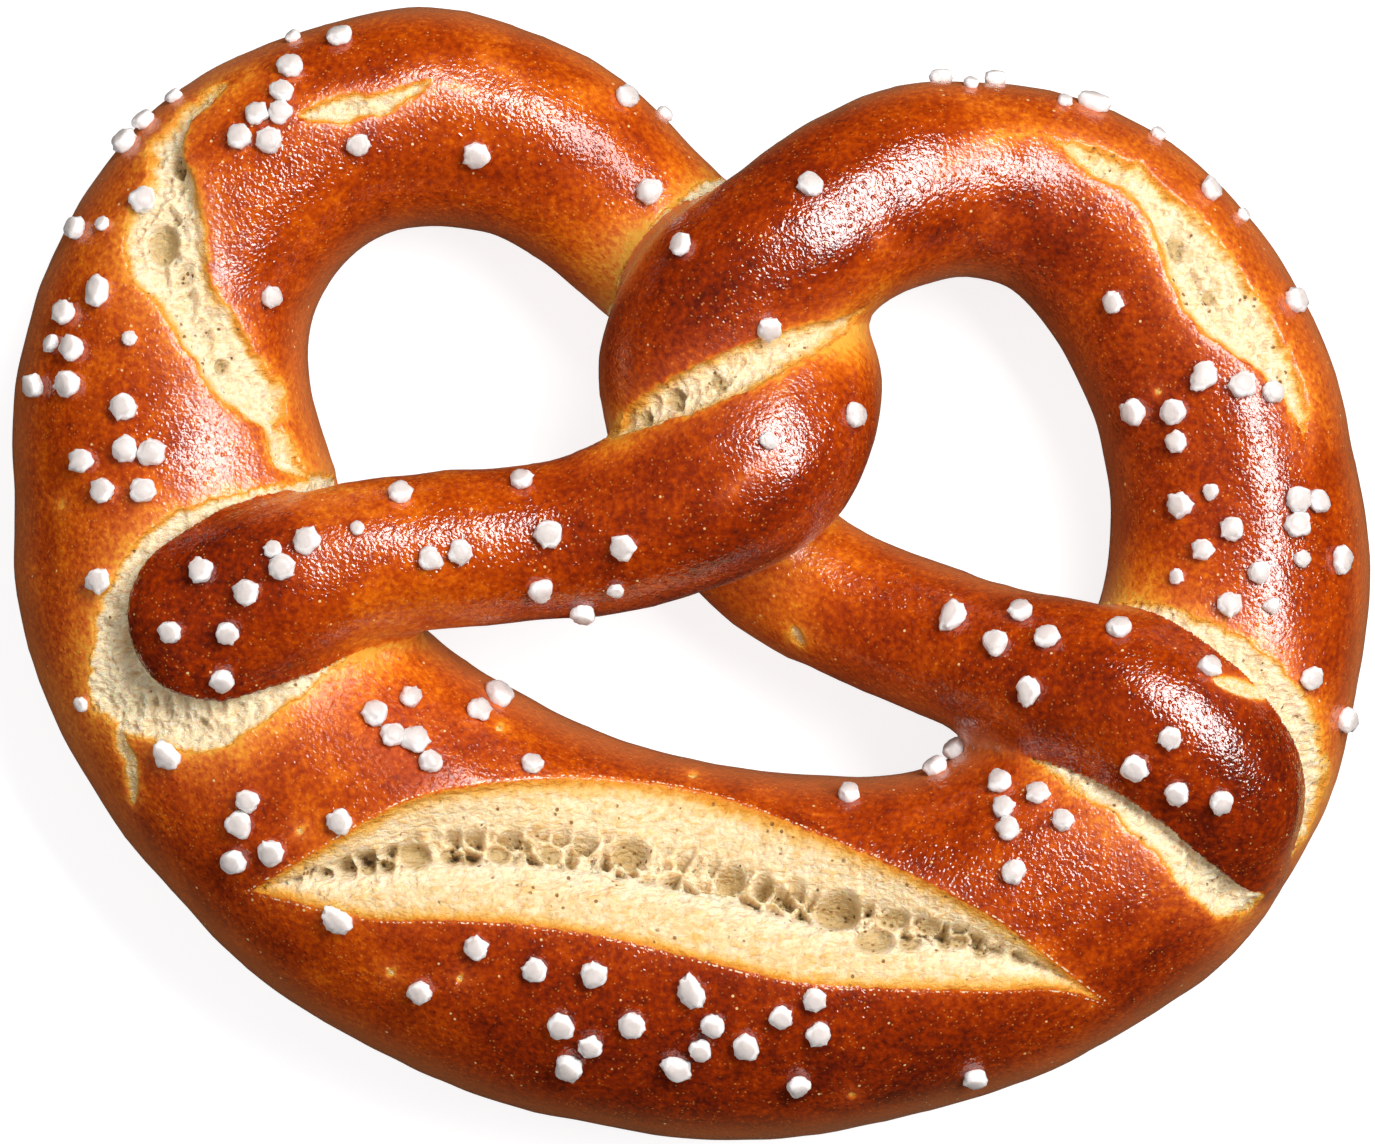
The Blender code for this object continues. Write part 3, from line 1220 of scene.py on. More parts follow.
    def _read(self, opening: Opening, skin: Skin, stretch: Array) -> Reading:
        """Measures one opening at every vertex.

        Args:
            opening: the opening.
            skin: the bread's skin.
            stretch: the number of the stretch of rope that each vertex is on.

        Returns:
            What the opening is like there.
        """
        upper = smooth_line(opening.upper, self.edge_step)
        lower = smooth_line(opening.lower, self.edge_step)
        to_upper, _ = distance_to_line(skin.flat, upper)
        to_lower, _ = distance_to_line(skin.flat, lower)
        within = inside_outline(skin.flat, np.vstack([upper, lower[::-1]]))
        nearest = np.minimum(to_upper, to_lower)
        live = skin.normals[:, 2] > self.facing_up
        if opening.under is not None:
            live &= stretch != opening.under.value
        depth = to_upper if opening.tear is Tear.SEAM else nearest
        inward = np.where(within, depth, -nearest)
        if opening.tear is not Tear.SLASH:
            close = np.flatnonzero(np.abs(inward) < self.ragged_reach)
            torn = self.tatter.at(skin.places[close])
            inward[close] += torn * smoothstep(nearest[close], self.ragged_reach, 0.0)
        span = to_upper + to_lower
        across = np.where(within, to_upper / np.maximum(span, TINY), (to_upper > to_lower) * 1.0)
        return Reading(inward, across, span, to_upper < to_lower, live)

    def _readings(self, bread: bpy.types.Object) -> tuple[Skin, Spot, list[Reading]]:
        """Measures the bread as it is.

        Args:
            bread: the piece.

        Returns:
            Its skin, where its vertices sit on the rope, and every opening's reading.
        """
        places = self.layout.to_route(vertex_places(bread.data))
        skin = Skin(places, vertex_normals(bread.data), self.layout.seen(places))
        spot = self._on_rope(places)
        stretch = self.line_stretch[spot.ring]
        return skin, spot, [self._read(opening, skin, stretch) for opening in OPENINGS]

    def _refine(self, bread: bpy.types.Object, reach: float) -> None:
        """Halves the mesh's faces in and near the openings.

        Args:
            bread: the piece.
            reach: how far outside an opening's edge it still works, in millimetres.
        """
        skin, _, readings = self._readings(bread)
        near = np.zeros(len(skin.places), bool)
        for reading in readings:
            near |= (reading.inward > -reach) & reading.live
        for crack in CRACKS:
            gap, _ = distance_to_line(skin.flat, smooth_line(crack.line, self.edge_step))
            near |= (gap < reach + crack.width / 2) & (skin.normals[:, 2] > self.facing_up)
        mesh = bread.data
        select_only(bread)
        bpy.context.tool_settings.mesh_select_mode = (False, False, True)
        bpy.ops.object.mode_set(mode="EDIT")
        bpy.ops.mesh.select_all(action="DESELECT")
        bpy.ops.object.mode_set(mode="OBJECT")
        chosen = [any(near[v] for v in face.vertices) for face in mesh.polygons]
        mesh.polygons.foreach_set("select", chosen)
        bpy.ops.object.mode_set(mode="EDIT")
        bpy.ops.mesh.subdivide(number_cuts=1)
        bpy.ops.mesh.vertices_smooth(factor=self.smoothing, repeat=1)
        bpy.ops.object.mode_set(mode="OBJECT")

    def _floor(self, opening: Opening, reading: Reading) -> Array:
        """Works out the floor and the lips of an opening.

        Args:
            opening: the opening.
            reading: what it is like at each vertex.

        Returns:
            How far it moves each vertex along its normal, in millimetres.
        """
        profile = opening.tear.value
        where = reading.inward if opening.tear is Tear.SEAM else reading.across
        size = np.minimum(1.0, reading.span / profile.full_span)
        floor = -opening.depth * np.interp(where, *profile.floor) * size
        ridge = hill(-reading.inward, self.lip_width, self.lip_width) * profile.lip * size
        return np.where(reading.inward > 0, floor, ridge)

    def _open(self, skin: Skin, opening: Opening, reading: Reading) -> None:
        """Works one opening into the skin.

        Args:
            skin: the bread's skin.
            opening: the opening.
            reading: what it is like at each vertex.
        """
        profile = opening.tear.value
        skin.move += np.where(reading.live, self._floor(opening, reading), 0.0)
        gap = np.where(reading.live, reading.inward, FAR_OUTSIDE)
        skin.inward = np.maximum(skin.inward, np.where(gap > 0, gap * opening.cream, gap))
        reach = np.where(reading.upper, opening.upper_glow, opening.lower_glow)
        fade = np.exp(np.minimum(gap, 0.0) / reach) * np.minimum(1.0, reading.span / self.glow_span)
        skin.glow = np.maximum(skin.glow, fade * opening.gold)
        pale = np.interp(reading.across, *profile.pale)
        skin.raw = np.where(gap > 0, np.maximum(skin.raw, pale), skin.raw)
        bank = hill(reading.across, profile.holes_at, profile.holes_reach, profile.holes_fall)
        size = np.minimum(1.0, reading.span / profile.holes_span) * opening.holes
        skin.valley = np.maximum(skin.valley, np.where(gap > 0, bank * size, 0.0))

    def _split(self, skin: Skin, crack: Crack) -> None:
        """Works one crack into the skin.

        Args:
            skin: the bread's skin.
            crack: the crack.
        """
        gap, where = distance_to_line(skin.flat, smooth_line(crack.line, self.crack_step))
        taper = np.sqrt(np.clip(1.0 - (2.0 * where - 1.0) ** 2, 0.0, 1.0))
        level = skin.normals[:, 2] > self.facing_up
        depth = np.where(level, crack.width / 2 * taper - gap, FAR_OUTSIDE)
        least, most = self.crack_glow
        glow = np.exp(np.minimum(depth, 0.0) / self.crack_glow_reach) * (least + (most - least) * crack.raw)
        skin.glow = np.maximum(skin.glow, glow)
        depth = depth - crack.width * (1.0 - crack.raw)
        skin.inward = np.maximum(skin.inward, np.where(depth > 0, depth * self.crack_cream, depth))
        skin.move -= smoothstep(depth, *self.crack_wall) * self.crack_depth * crack.raw

    def _blow(self, skin: Skin, bubble: Bubble, crumb: Array) -> None:
        """Works one bubble into the crumb.

        Args:
            skin: the bread's skin.
            bubble: the bubble.
            crumb: how much each vertex is crumb and not crust.
        """
        along, across = skin.flat[:, 0] - bubble.x, skin.flat[:, 1] - bubble.y
        gap = np.hypot(along, across / bubble.squash) / bubble.radius
        cup = np.sqrt(np.clip(1.0 - gap**2, 0.0, 1.0))
        skin.move -= bubble.depth * cup * crumb
        skin.move += self.bubble_rim * hill(gap, self.bubble_rim_at, self.bubble_rim_reach) * crumb
        # The bubble's hollow gets painted shade, darker towards its middle.
        skin.pit_shade = np.maximum(skin.pit_shade, smoothstep(cup, *self.bubble_shade))
        if bubble.radius > self.large_bubble:
            skin.clear *= smoothstep(gap, *self.bubble_room)

    def _pores(self, places: Array, valley: Array, raw: Array) -> tuple[Array, Array]:
        """Works out the crumb's cells and roughness.

        Args:
            places: route places, N by 3.
            valley: how deep the large cells are there, 0 to 1.
            raw: how raw the crumb is there, 0 to 1.

        Returns:
            How deep the pores are, in millimetres, and how shaded they look, 0 to 1.
        """
        large = self.large_cells.at(places) * valley
        small = self.small_cells.at(places)
        depth = large * self.large_depth
        depth += small * (self.small_depth + self.small_valley_depth * valley + self.small_raw_depth * raw)
        depth += self.rough.at(places) * (self.rough_depth + self.rough_raw_depth * raw)
        shade = large * self.large_shade + small * self.small_shade * raw
        return depth, np.clip(shade, 0.0, self.shade_limit)

    def _sculpt(self, bread: bpy.types.Object) -> None:
        """Works the openings, the crumb and the crust's lumps into the skin.

        Args:
            bread: the piece.
        """
        skin, spot, readings = self._readings(bread)
        for opening, reading in zip(OPENINGS, readings):
            self._open(skin, opening, reading)
        for crack in CRACKS:
            self._split(skin, crack)
        slash = readings[OPENINGS.index(SLASH)]
        skin.lip = np.where(slash.live, 1.0 - smoothstep(np.abs(slash.inward), *self.lip_fade), 0.0)
        crumb = smoothstep(skin.inward, *self.crumb_wall)
        for bubble in BUBBLES:
            self._blow(skin, bubble, crumb)
        lumps = sum(lump.at(skin.places) for lump in self.lumps)
        skin.move += lumps * (1.0 - crumb) * smoothstep(skin.places[:, 2], *self.lump_heights)
        inner = np.flatnonzero(crumb > 0)
        valley = (skin.valley * skin.clear)[inner]
        depth, shade = self._pores(skin.places[inner], valley, skin.raw[inner])
        skin.move[inner] -= depth * crumb[inner]
        # The crumb's cells get painted shade as well.
        skin.pit_shade[inner] = np.maximum(skin.pit_shade[inner] * crumb[inner], shade)
        skin.raw = skin.raw * crumb
        skin.pit_shade = skin.pit_shade * crumb
        shaped = skin.places + skin.normals * skin.move[:, None]
        move_vertices(bread.data, self.layout.to_frame(shaped))
        self._keep(bread.data, skin, spot)

    def _keep(self, mesh: bpy.types.Mesh, skin: Skin, spot: Spot) -> None:
        """Stores what the finish reads on the vertices.

        Args:
            mesh: the bread's mesh.
            skin: its skin.
            spot: where its vertices sit on the rope.
        """
        height = skin.places[:, 2]
        shoulder = self.crown_browning * (smoothstep(spot.up, *self.crown) - self.crown_middle)
        shoulder += sum(patch.at(skin.places) for patch in self.patches)
        dull = np.zeros(len(height))
        for tone in TONES:
            gap = np.hypot(skin.flat[:, 0] - tone.x, skin.flat[:, 1] - tone.y)
            near = hill(gap, 0.0, tone.reach)
            shoulder += tone.browner * near
            dull += tone.duller * near
        low_side = 1.0 - smoothstep(height, *self.edge_sheen_heights)
        kept = {
            "dull": np.clip(dull, 0.0, 1.0),
            # Painted sheen on the low flanks, standing in for the pale table mirrored in the glossy crust.
            "edge_sheen": (1.0 - smoothstep(spot.up, *self.edge_sheen_ups)) * low_side,
            "lip": skin.lip,
            "opening": np.clip(skin.inward, -self.kept_reach, self.kept_reach),
            "glow": skin.glow,
            "bake": np.clip(self.line[spot.ring, 5] + shoulder, 0.0, 1.0),
            "raw": skin.raw,
            "pit_shade": skin.pit_shade,
            "under": 1.0 - smoothstep(height, *self.under_heights),
            "along": spot.along * self.layout.unit,
            "around": spot.around * self.layout.unit,
        }
        for name, values in kept.items():
            keep_on_vertices(mesh, name, values)


# ---------------------------------------------------------------------------------------------
# The salt
# ---------------------------------------------------------------------------------------------


SALT: tuple[tuple[Any, ...], ...] = (
    # The left loop and the left side.
    (-46.5, 63, Grain.SMALL), (-41, 63), (-47, 59.5), (-48, 56.6), (-48.2, 54.2), (-51, 54),
    (-53, 51.2), (-49.5, 51), (-39, 50.5), (-25, 49.5), (-60.5, 56, Grain.SMALL), (-64, 53),
    (-66.2, 50.5), (-64.5, 44), (-72, 40.5), (-69, 41, Grain.SMALL), (-69.5, 33, Grain.DOUBLE, 100),
    (-49.5, 32.5), (-73.5, 30.5), (-75, 27, Grain.SMALL), (-72.5, 26.3), (-66, 27.5, Grain.SMALL),
    (-77, 22), (-73, 22.3), (-66.5, 19.5), (-71.5, 13), (-66.5, 14.5), (-63.5, 14),
    (-69, 9.5), (-64.5, 9.5), (-69.5, -1), (-7.5, 56), (-3, 54, Grain.SMALL), (-4.5, 45),
    (-0.5, 38.5),
    # The left arm.
    (-34, 9), (-19.5, 10.5), (-45, 3.5), (-39, 5, Grain.SMALL), (-49, 2.5, Grain.SMALL),
    (-57.5, 0), (-48, 0.5), (-52, -2.5), (-30.5, 1.5), (-27, 2.5), (-16.5, 4.5), (-7.5, 3),
    (-17.5, -2), (-8.5, -2, Grain.SMALL), (-12.3, -4.5), (-61, -7), (-54.5, -7), (-55, -12.5),
    # The belly, left of the slash and above it.
    (-71.5, -15.5, Grain.SMALL), (-61.5, -21.5, Grain.DOUBLE, -57), (-52, -27), (-53, -29.8),
    (-53.5, -34), (-49, -33), (-41, -29.5), (-41.5, -41, Grain.DOUBLE, -44), (-33, -15),
    (-37, -17), (-35, -19.5), (-32.5, -20), (-30.5, -22.5), (-25, -16.5), (-22.5, -14.8),
    (-18.5, -23),
    # The belly, below the slash.
    (-25, -44.5), (-31.5, -49.5),
    (-18, -47), (-11, -47.5), (0.5, -49.5, Grain.DOUBLE, -75), (-15, -53.5), (-11.5, -56),
    (-14, -58.3), (-6.5, -53.5), (-1.5, -58.5, Grain.DOUBLE, -30), (1.5, -56.3), (3, -53.5),
    (7, -56), (11, -52.5), (15, -50.5), (15.5, -54.5), (13, -60.5), (34, -59.5),
    # The belly, above the slash on the right.
    (19, -26.5), (29.5, -23.5), (32, -21.3), (37, -25), (41.5, -26.5), (37.5, -28),
    (38, -30.5), (44.5, -29.5), (38.5, -35.5),
    # The right arm.
    (31.5, -5.5, Grain.DOUBLE, 69), (36.5, -8.5), (39.5, -5), (42.5, -8), (40.5, -14, Grain.DOUBLE, 80),
    (51, -7), (61.5, -11.5), (57, -19.5), (53, -23), (58, -26), (63, -27),
    # The right loop and the right side.
    (53, 19), (57.7, 19), (58, 15.3), (61, 23, Grain.DOUBLE, 60), (65.5, 22), (69, 21.3), (58.5, 8),
    (62, 9.5, Grain.SMALL), (64.5, 5), (61, 2.5), (58, -0.5, Grain.SMALL), (67.5, 0), (64, -4),
    (72, 8.6), (74.3, 8.2), (72, 5.5), (72.5, 1.5, Grain.SMALL), (77, 1.5, Grain.DOUBLE, 85),
    (69, -4, Grain.SMALL), (73.5, -12.5), (77.5, -17.5), (50.5, 32), (61.5, 45),
    (65.5, 42, Grain.SMALL), (71.5, 32), (48, 55, Grain.DOUBLE, -45), (44.5, 55.5, Grain.SMALL),
    (55.5, 51.5, Grain.SMALL), (36.5, 58.5), (33.5, 57.5, Grain.SMALL), (30, 58.3, Grain.USUAL),
    # The twist.
    (14.5, 45.5), (9.5, 29), (19.5, 18.5), (9.5, 15.5, Grain.SMALL),
)


@dataclass
class Salt:
    """Coarse salt, one joined piece of separate grains pressed into the crust.

    The grain's width and height are millimetres. What shapes a mould is a share of half its
    width.
    """

    layout: Layout
    bread: bpy.types.Object
    grain_width: float = 3.05
    grain_height: float = 2.2
    sunk: float = 0.22
    lean: float = 0.2
    grading: Range = (0.86, 1.06)
    moulds: int = 9
    twins: int = 4
    knobs: int = 5
    twin_knobs: int = 2
    knob_height: float = 0.20
    knob_sharpness: float = 60.0
    knob_tilt: Range = (-0.1, 0.3)
    flatness: float = 1.5
    facet_counts: tuple[int, ...] = (6, 7, 8, 8, 9)
    facet_share: float = 0.3
    wobble_height: float = 0.16
    wobble_pace: float = 1.1
    nub_height: float = 0.24
    nub_pace: float = 5.0
    mould_seeds: tuple[float, float, float] = (5.0, 60.0, 9.0)
    width_spread: Range = (0.93, 1.07)
    twin_length: float = 1.30
    waist_reach: float = 0.3
    waist_depth: float = 0.16
    twin_taper: float = 0.10
    seed: int = 11

    def build(self) -> bpy.types.Object:
        """Makes the moulds, copies them to their places and joins the grains.

        Returns:
            The finished piece.
        """
        rng = random.Random(self.seed)
        moulds = [self._mould(number, twin=False, rng=rng) for number in range(self.moulds)]
        twins = [self._mould(number, twin=True, rng=rng) for number in range(self.twins)]
        skin = BVHTree.FromObject(self.bread, bpy.context.evaluated_depsgraph_get())
        grains = []
        for x, y, *rest in SALT:
            grade = rest[0] if rest else Grain.USUAL
            angle = math.radians(rest[1]) if len(rest) > 1 else rng.uniform(0.0, math.tau)
            mould = rng.choice(twins if grade is Grain.DOUBLE else moulds)
            grain = mould.copy()
            grain.data = mould.data.copy()
            bpy.context.collection.objects.link(grain)
            grain.matrix_world = self._pressed_in(skin, x, y, grade.value, angle, rng)
            grains.append(grain)
        for mould in moulds + twins:
            bpy.data.objects.remove(mould)
        salt = joined(grains, "salt")
        bpy.ops.object.shade_smooth()
        LOG.info("salt: %d grains, %d faces", len(SALT), len(salt.data.polygons))
        return salt

    def _mould(self, number: int, twin: bool, rng: random.Random) -> bpy.types.Object:
        """Makes one shape of grain: a flat bead with blunt knobs round it, or two run together.

        Args:
            number: which mould it is.
            twin: whether two beads run together.
            rng: where its knobs come from.

        Returns:
            The mould, with how near the rim a vertex is kept on its vertices.
        """
        bpy.ops.mesh.primitive_ico_sphere_add(subdivisions=3, radius=1.0)
        mould = bpy.context.object
        mould.name = f"mould_{'twin' if twin else 'single'}_{number}"
        ball = vertex_places(mould.data)
        rim = np.hypot(ball[:, 0], ball[:, 1])
        knobs = [self._knob(rng) for _ in range(self.knobs + self.twin_knobs * twin)]
        close = ball @ np.array(knobs).T
        raised = (np.exp((close - 1.0) * self.knob_sharpness) * self.knob_height).max(axis=1)
        seed, twin_seed, nub_seed = self.mould_seeds
        wobble = ball * self.wobble_pace + seed * number + twin_seed * twin
        uneven = sampled(wobble, noise.noise) * self.wobble_height
        facet = math.pi / rng.choice(self.facet_counts)
        turn = np.arctan2(ball[:, 1], ball[:, 0]) + rng.uniform(0.0, math.pi)
        facets = (math.cos(facet) / np.cos(turn % (2 * facet) - facet)) ** self.facet_share
        nubs = sampled(ball * self.nub_pace + nub_seed * number, noise.noise) * self.nub_height
        ball[:, 2] = np.tanh(ball[:, 2] * self.flatness) / math.tanh(self.flatness)
        ball[:, :2] *= (facets + raised + uneven + nubs)[:, None]
        ball[:, 2] *= 1.0 + uneven
        ball *= np.array([rng.uniform(*self.width_spread), rng.uniform(*self.width_spread), 1.0])
        if twin:
            self._run_together(ball, rng)
        half = np.array([self.grain_width, self.grain_width, self.grain_height]) / 2
        move_vertices(mould.data, ball * half * self.layout.unit)
        # How near the rim a vertex is, for the painted light round the salt's rim.
        keep_on_vertices(mould.data, "rim", rim)
        return mould

    def _run_together(self, ball: Array, rng: random.Random) -> None:
        """Draws a bead out and pinches it, as where two grains run together.

        Args:
            ball: the bead's vertices, which it moves.
            rng: where the pinch's place comes from.
        """
        ball[:, 0] *= self.twin_length
        pinch = rng.uniform(-self.waist_reach, self.waist_reach)
        pinched = hill(ball[:, 0], pinch, self.waist_reach) * (ball[:, 1] > 0)
        waist = 1.0 - self.waist_depth * pinched
        ball[:, 1] *= waist * (1.0 - self.twin_taper * np.sign(pinch) * ball[:, 0])

    def _knob(self, rng: random.Random) -> Vector:
        """Returns the direction of one knob near the rim."""
        angle = rng.uniform(0.0, math.tau)
        return Vector((math.cos(angle), math.sin(angle), rng.uniform(*self.knob_tilt))).normalized()

    def _pressed_in(
        self, skin: BVHTree, x: float, y: float, size: float, angle: float, rng: random.Random
    ) -> Matrix:
        """Finds how a grain lies that is pressed into the crust.

        Args:
            skin: the bread's surface.
            x: where it is seen, in millimetres.
            y: where it is seen, in millimetres.
            size: its size as a share of a usual grain.
            angle: which way its length points, seen from above.
            rng: where its unevenness comes from.

        Returns:
            The grain's place, turn and size.
        """
        start, run = self.layout.sight(x, y)
        hit, normal, _, _ = skin.ray_cast(start, run)
        if hit is None:
            reach = (self.layout.eye[2] - self.layout.sight_height) * self.layout.unit
            hit, normal, _, _ = skin.find_nearest(start - run * (reach / run.z))
        lean = Vector((rng.uniform(-self.lean, self.lean), rng.uniform(-self.lean, self.lean), 0.0))
        normal = (normal + lean).normalized()
        length = Vector((math.cos(angle), math.sin(angle), 0.0))
        length = (length - normal * length.dot(normal)).normalized()
        turn = Matrix((length, normal.cross(length), normal)).transposed().to_4x4()
        rise = self.grain_height * (0.5 - self.sunk) * size * self.layout.unit
        scale = Matrix.Scale(size * rng.uniform(*self.grading), 4)
        return Matrix.Translation(hit + normal * rise) @ turn @ scale


# ---------------------------------------------------------------------------------------------
# Finishes
# ---------------------------------------------------------------------------------------------


class Value:
    """A number socket that Python's arithmetic works on, each step a Math node."""

    def __init__(self, shader: "Shader", socket: bpy.types.NodeSocket) -> None:
        """Wraps a socket of a shader."""
        self.shader = shader
        self.socket = socket

    def _math(self, operation: str, *values: Any, clamp: bool = False) -> "Value":
        """Adds a Math node.

        Args:
            operation: what it does.
            *values: what it does it to.
            clamp: whether its result is held between 0 and 1.

        Returns:
            Its result.
        """
        settings = {"operation": operation, "use_clamp": clamp}
        made = self.shader.node("ShaderNodeMath", settings, dict(enumerate(values)))
        return Value(self.shader, made.outputs[0])

    def __add__(self, other: Any) -> "Value":
        """Returns self + other."""
        return self._math("ADD", self, other)

    def __sub__(self, other: Any) -> "Value":
        """Returns self - other."""
        return self._math("SUBTRACT", self, other)

    def __rsub__(self, other: Any) -> "Value":
        """Returns other - self."""
        return self._math("SUBTRACT", other, self)

    def __mul__(self, other: Any) -> "Value":
        """Returns self * other."""
        return self._math("MULTIPLY", self, other)

    __radd__ = __add__
    __rmul__ = __mul__

    def clamped(self) -> "Value":
        """Returns self held between 0 and 1."""
        return self._math("ADD", self, 0.0, clamp=True)

    def size(self) -> "Value":
        """Returns self without its sign."""
        return self._math("ABSOLUTE", self)

    def at_least(self, other: Any) -> "Value":
        """Returns the larger of self and other."""
        return self._math("MAXIMUM", self, other)

    def step(self, low: float, high: float) -> "Value":
        """Turns self into an easy step.

        Args:
            low: the value at and past which it is 0.
            high: the value at and past which it is 1.

        Returns:
            The step, 0 to 1.
        """
        made = self.shader.node(
            "ShaderNodeMapRange",
            {"interpolation_type": "SMOOTHSTEP", "clamp": True},
            {"Value": self, "From Min": low, "From Max": high},
        )
        return Value(self.shader, made.outputs[0])


@dataclass(frozen=True)
class Cloud:
    """Soft noise in a finish.

    Attributes:
        size: how wide its patches are, in metres.
        detail: how many finer layers it has.
        warp: how far it is drawn about.
        start: the value where a patch begins.
        full: the value where a patch is full.
    """

    size: float
    detail: float = 2.0
    warp: float = 0.0
    start: float = 0.0
    full: float = 1.0


@dataclass(frozen=True)
class Dots:
    """Scattered dots in a finish.

    Attributes:
        size: how far apart they lie, in metres.
        reach: how far one reaches from its middle, as a share of the size.
        edge: how soft its edge is, as a share of the size.
    """

    size: float
    reach: float
    edge: float


class Shader:
    """Builds one material's nodes."""

    def __init__(self, name: str) -> None:
        """Starts an empty material.

        Args:
            name: the material's name.
        """
        self.material = bpy.data.materials.new(name)
        self.material.use_nodes = True
        self.tree = self.material.node_tree
        self.tree.nodes.clear()

    def node(
        self, kind: str, settings: dict[str, Any], inputs: dict[Any, Any]
    ) -> bpy.types.Node:
        """Adds a node.

        Args:
            kind: the node's type.
            settings: its own values, set first; stops are a ramp's (position, colour) pairs.
            inputs: what each socket, by name or number, takes: a value or a link. A colour has
                three numbers.

        Returns:
            The node.
        """
        made = self.tree.nodes.new(kind)
        for name, value in settings.items():
            if name == "stops":
                self._set_stops(made.color_ramp, value)
            else:
                setattr(made, name, value)
        for name, value in inputs.items():
            socket = made.inputs[name]
            if isinstance(value, Value):
                value = value.socket
            if isinstance(value, bpy.types.NodeSocket):
                self.tree.links.new(value, socket)
            else:
                socket.default_value = (*value, 1.0) if socket.type == "RGBA" else value
        return made

    @staticmethod
    def _set_stops(ramp: bpy.types.ColorRamp, stops: Sequence[tuple[float, Colour]]) -> None:
        """Gives a ramp its stops.

        Args:
            ramp: the ramp.
            stops: the position and the colour of each.
        """
        while len(ramp.elements) < len(stops):
            ramp.elements.new(1.0)
        for element, (position, colour) in zip(ramp.elements, stops):
            element.position = position
            element.color = (*colour, 1.0)

    def attribute(self, name: str) -> Value:
        """Returns a number kept on the mesh."""
        made = self.node("ShaderNodeAttribute", {"attribute_name": name}, {})
        return Value(self, made.outputs["Fac"])

    def place(self) -> bpy.types.NodeSocket:
        """Returns the place on the piece, in metres."""
        return self.node("ShaderNodeTexCoord", {}, {}).outputs["Object"]

    def stretched(self, stretch: tuple[float, float, float]) -> bpy.types.NodeSocket:
        """Returns the place on the piece, in metres, scaled along each axis."""
        return self.node("ShaderNodeMapping", {}, {"Vector": self.place(), "Scale": stretch}).outputs[0]

    def on_rope(self, stretch: float) -> bpy.types.NodeSocket:
        """Returns the place on the rope's skin, in metres, its patterns drawn out along it."""
        inputs = {"X": self.attribute("along") * (1.0 / stretch), "Y": self.attribute("around")}
        return self.node("ShaderNodeCombineXYZ", {}, inputs).outputs[0]

    def clouds(self, cloud: Cloud, vector: Any = None) -> Value:
        """Makes soft noise.

        Args:
            cloud: what it is like.
            vector: the place it is read at, the place on the piece if it is left out.

        Returns:
            Its value, about a half on average.
        """
        inputs = {
            "Vector": self.place() if vector is None else vector,
            "Scale": 1.0 / cloud.size,
            "Detail": cloud.detail,
            "Distortion": cloud.warp,
        }
        return Value(self, self.node("ShaderNodeTexNoise", {}, inputs).outputs[0])

    def patches(self, cloud: Cloud) -> Value:
        """Returns 1 in a cloud's patches and 0 between them."""
        return self.clouds(cloud).step(cloud.start, cloud.full)

    def dots(self, dots: Dots) -> Value:
        """Makes scattered dots.

        Args:
            dots: what they are like.

        Returns:
            1 in the dots and 0 between them.
        """
        inputs = {"Vector": self.place(), "Scale": 1.0 / dots.size}
        made = self.node("ShaderNodeTexVoronoi", {"feature": "F1"}, inputs)
        return (dots.reach - Value(self, made.outputs["Distance"])).step(0.0, dots.edge)

    def ramp(self, factor: Value, stops: Sequence[tuple[float, Colour]]) -> bpy.types.NodeSocket:
        """Returns a ramp's colour."""
        return self.node("ShaderNodeValToRGB", {"stops": stops}, {"Fac": factor}).outputs[0]

    def mix(self, factor: Any, first: Any, second: Any) -> bpy.types.NodeSocket:
        """Returns the colour first where factor is 0 and second where it is 1."""
        made = self.node("ShaderNodeMix", {"data_type": "RGBA"}, {"Factor": factor, 6: first, 7: second})
        return made.outputs[2]

    def bump(self, height: Value, depth: float) -> bpy.types.NodeSocket:
        """Returns a normal bent by a height field that is depth metres tall."""
        inputs = {"Height": height, "Distance": depth, "Strength": 1.0}
        return self.node("ShaderNodeBump", {}, inputs).outputs[0]

    def principled(self, inputs: dict[str, Any]) -> bpy.types.NodeSocket:
        """Returns a Principled surface."""
        return self.node("ShaderNodeBsdfPrincipled", {}, inputs).outputs[0]

    def blend(
        self, factor: Value, first: bpy.types.NodeSocket, second: bpy.types.NodeSocket
    ) -> bpy.types.NodeSocket:
        """Returns the surface first where factor is 0 and second where it is 1."""
        return self.node("ShaderNodeMixShader", {}, {"Fac": factor, 1: first, 2: second}).outputs[0]

    def finish(self, surface: bpy.types.NodeSocket) -> bpy.types.Material:
        """Feeds the surface to the output and returns the material."""
        self.node("ShaderNodeOutputMaterial", {}, {"Surface": surface})
        return self.material


class Bake(Enum):
    """The colours that the crust goes through in the oven, and how baked it is at each."""

    GOLD = (0.0, (0.78, 0.36, 0.03))
    AMBER = (0.16, (0.78, 0.24, 0.010))
    ORANGE = (0.34, (0.62, 0.115, 0.002))
    CHESTNUT = (0.54, (0.42, 0.050, 0.0008))
    MAHOGANY = (0.76, (0.25, 0.021, 0.0008))
    SCORCHED = (1.0, (0.10, 0.008, 0.002))


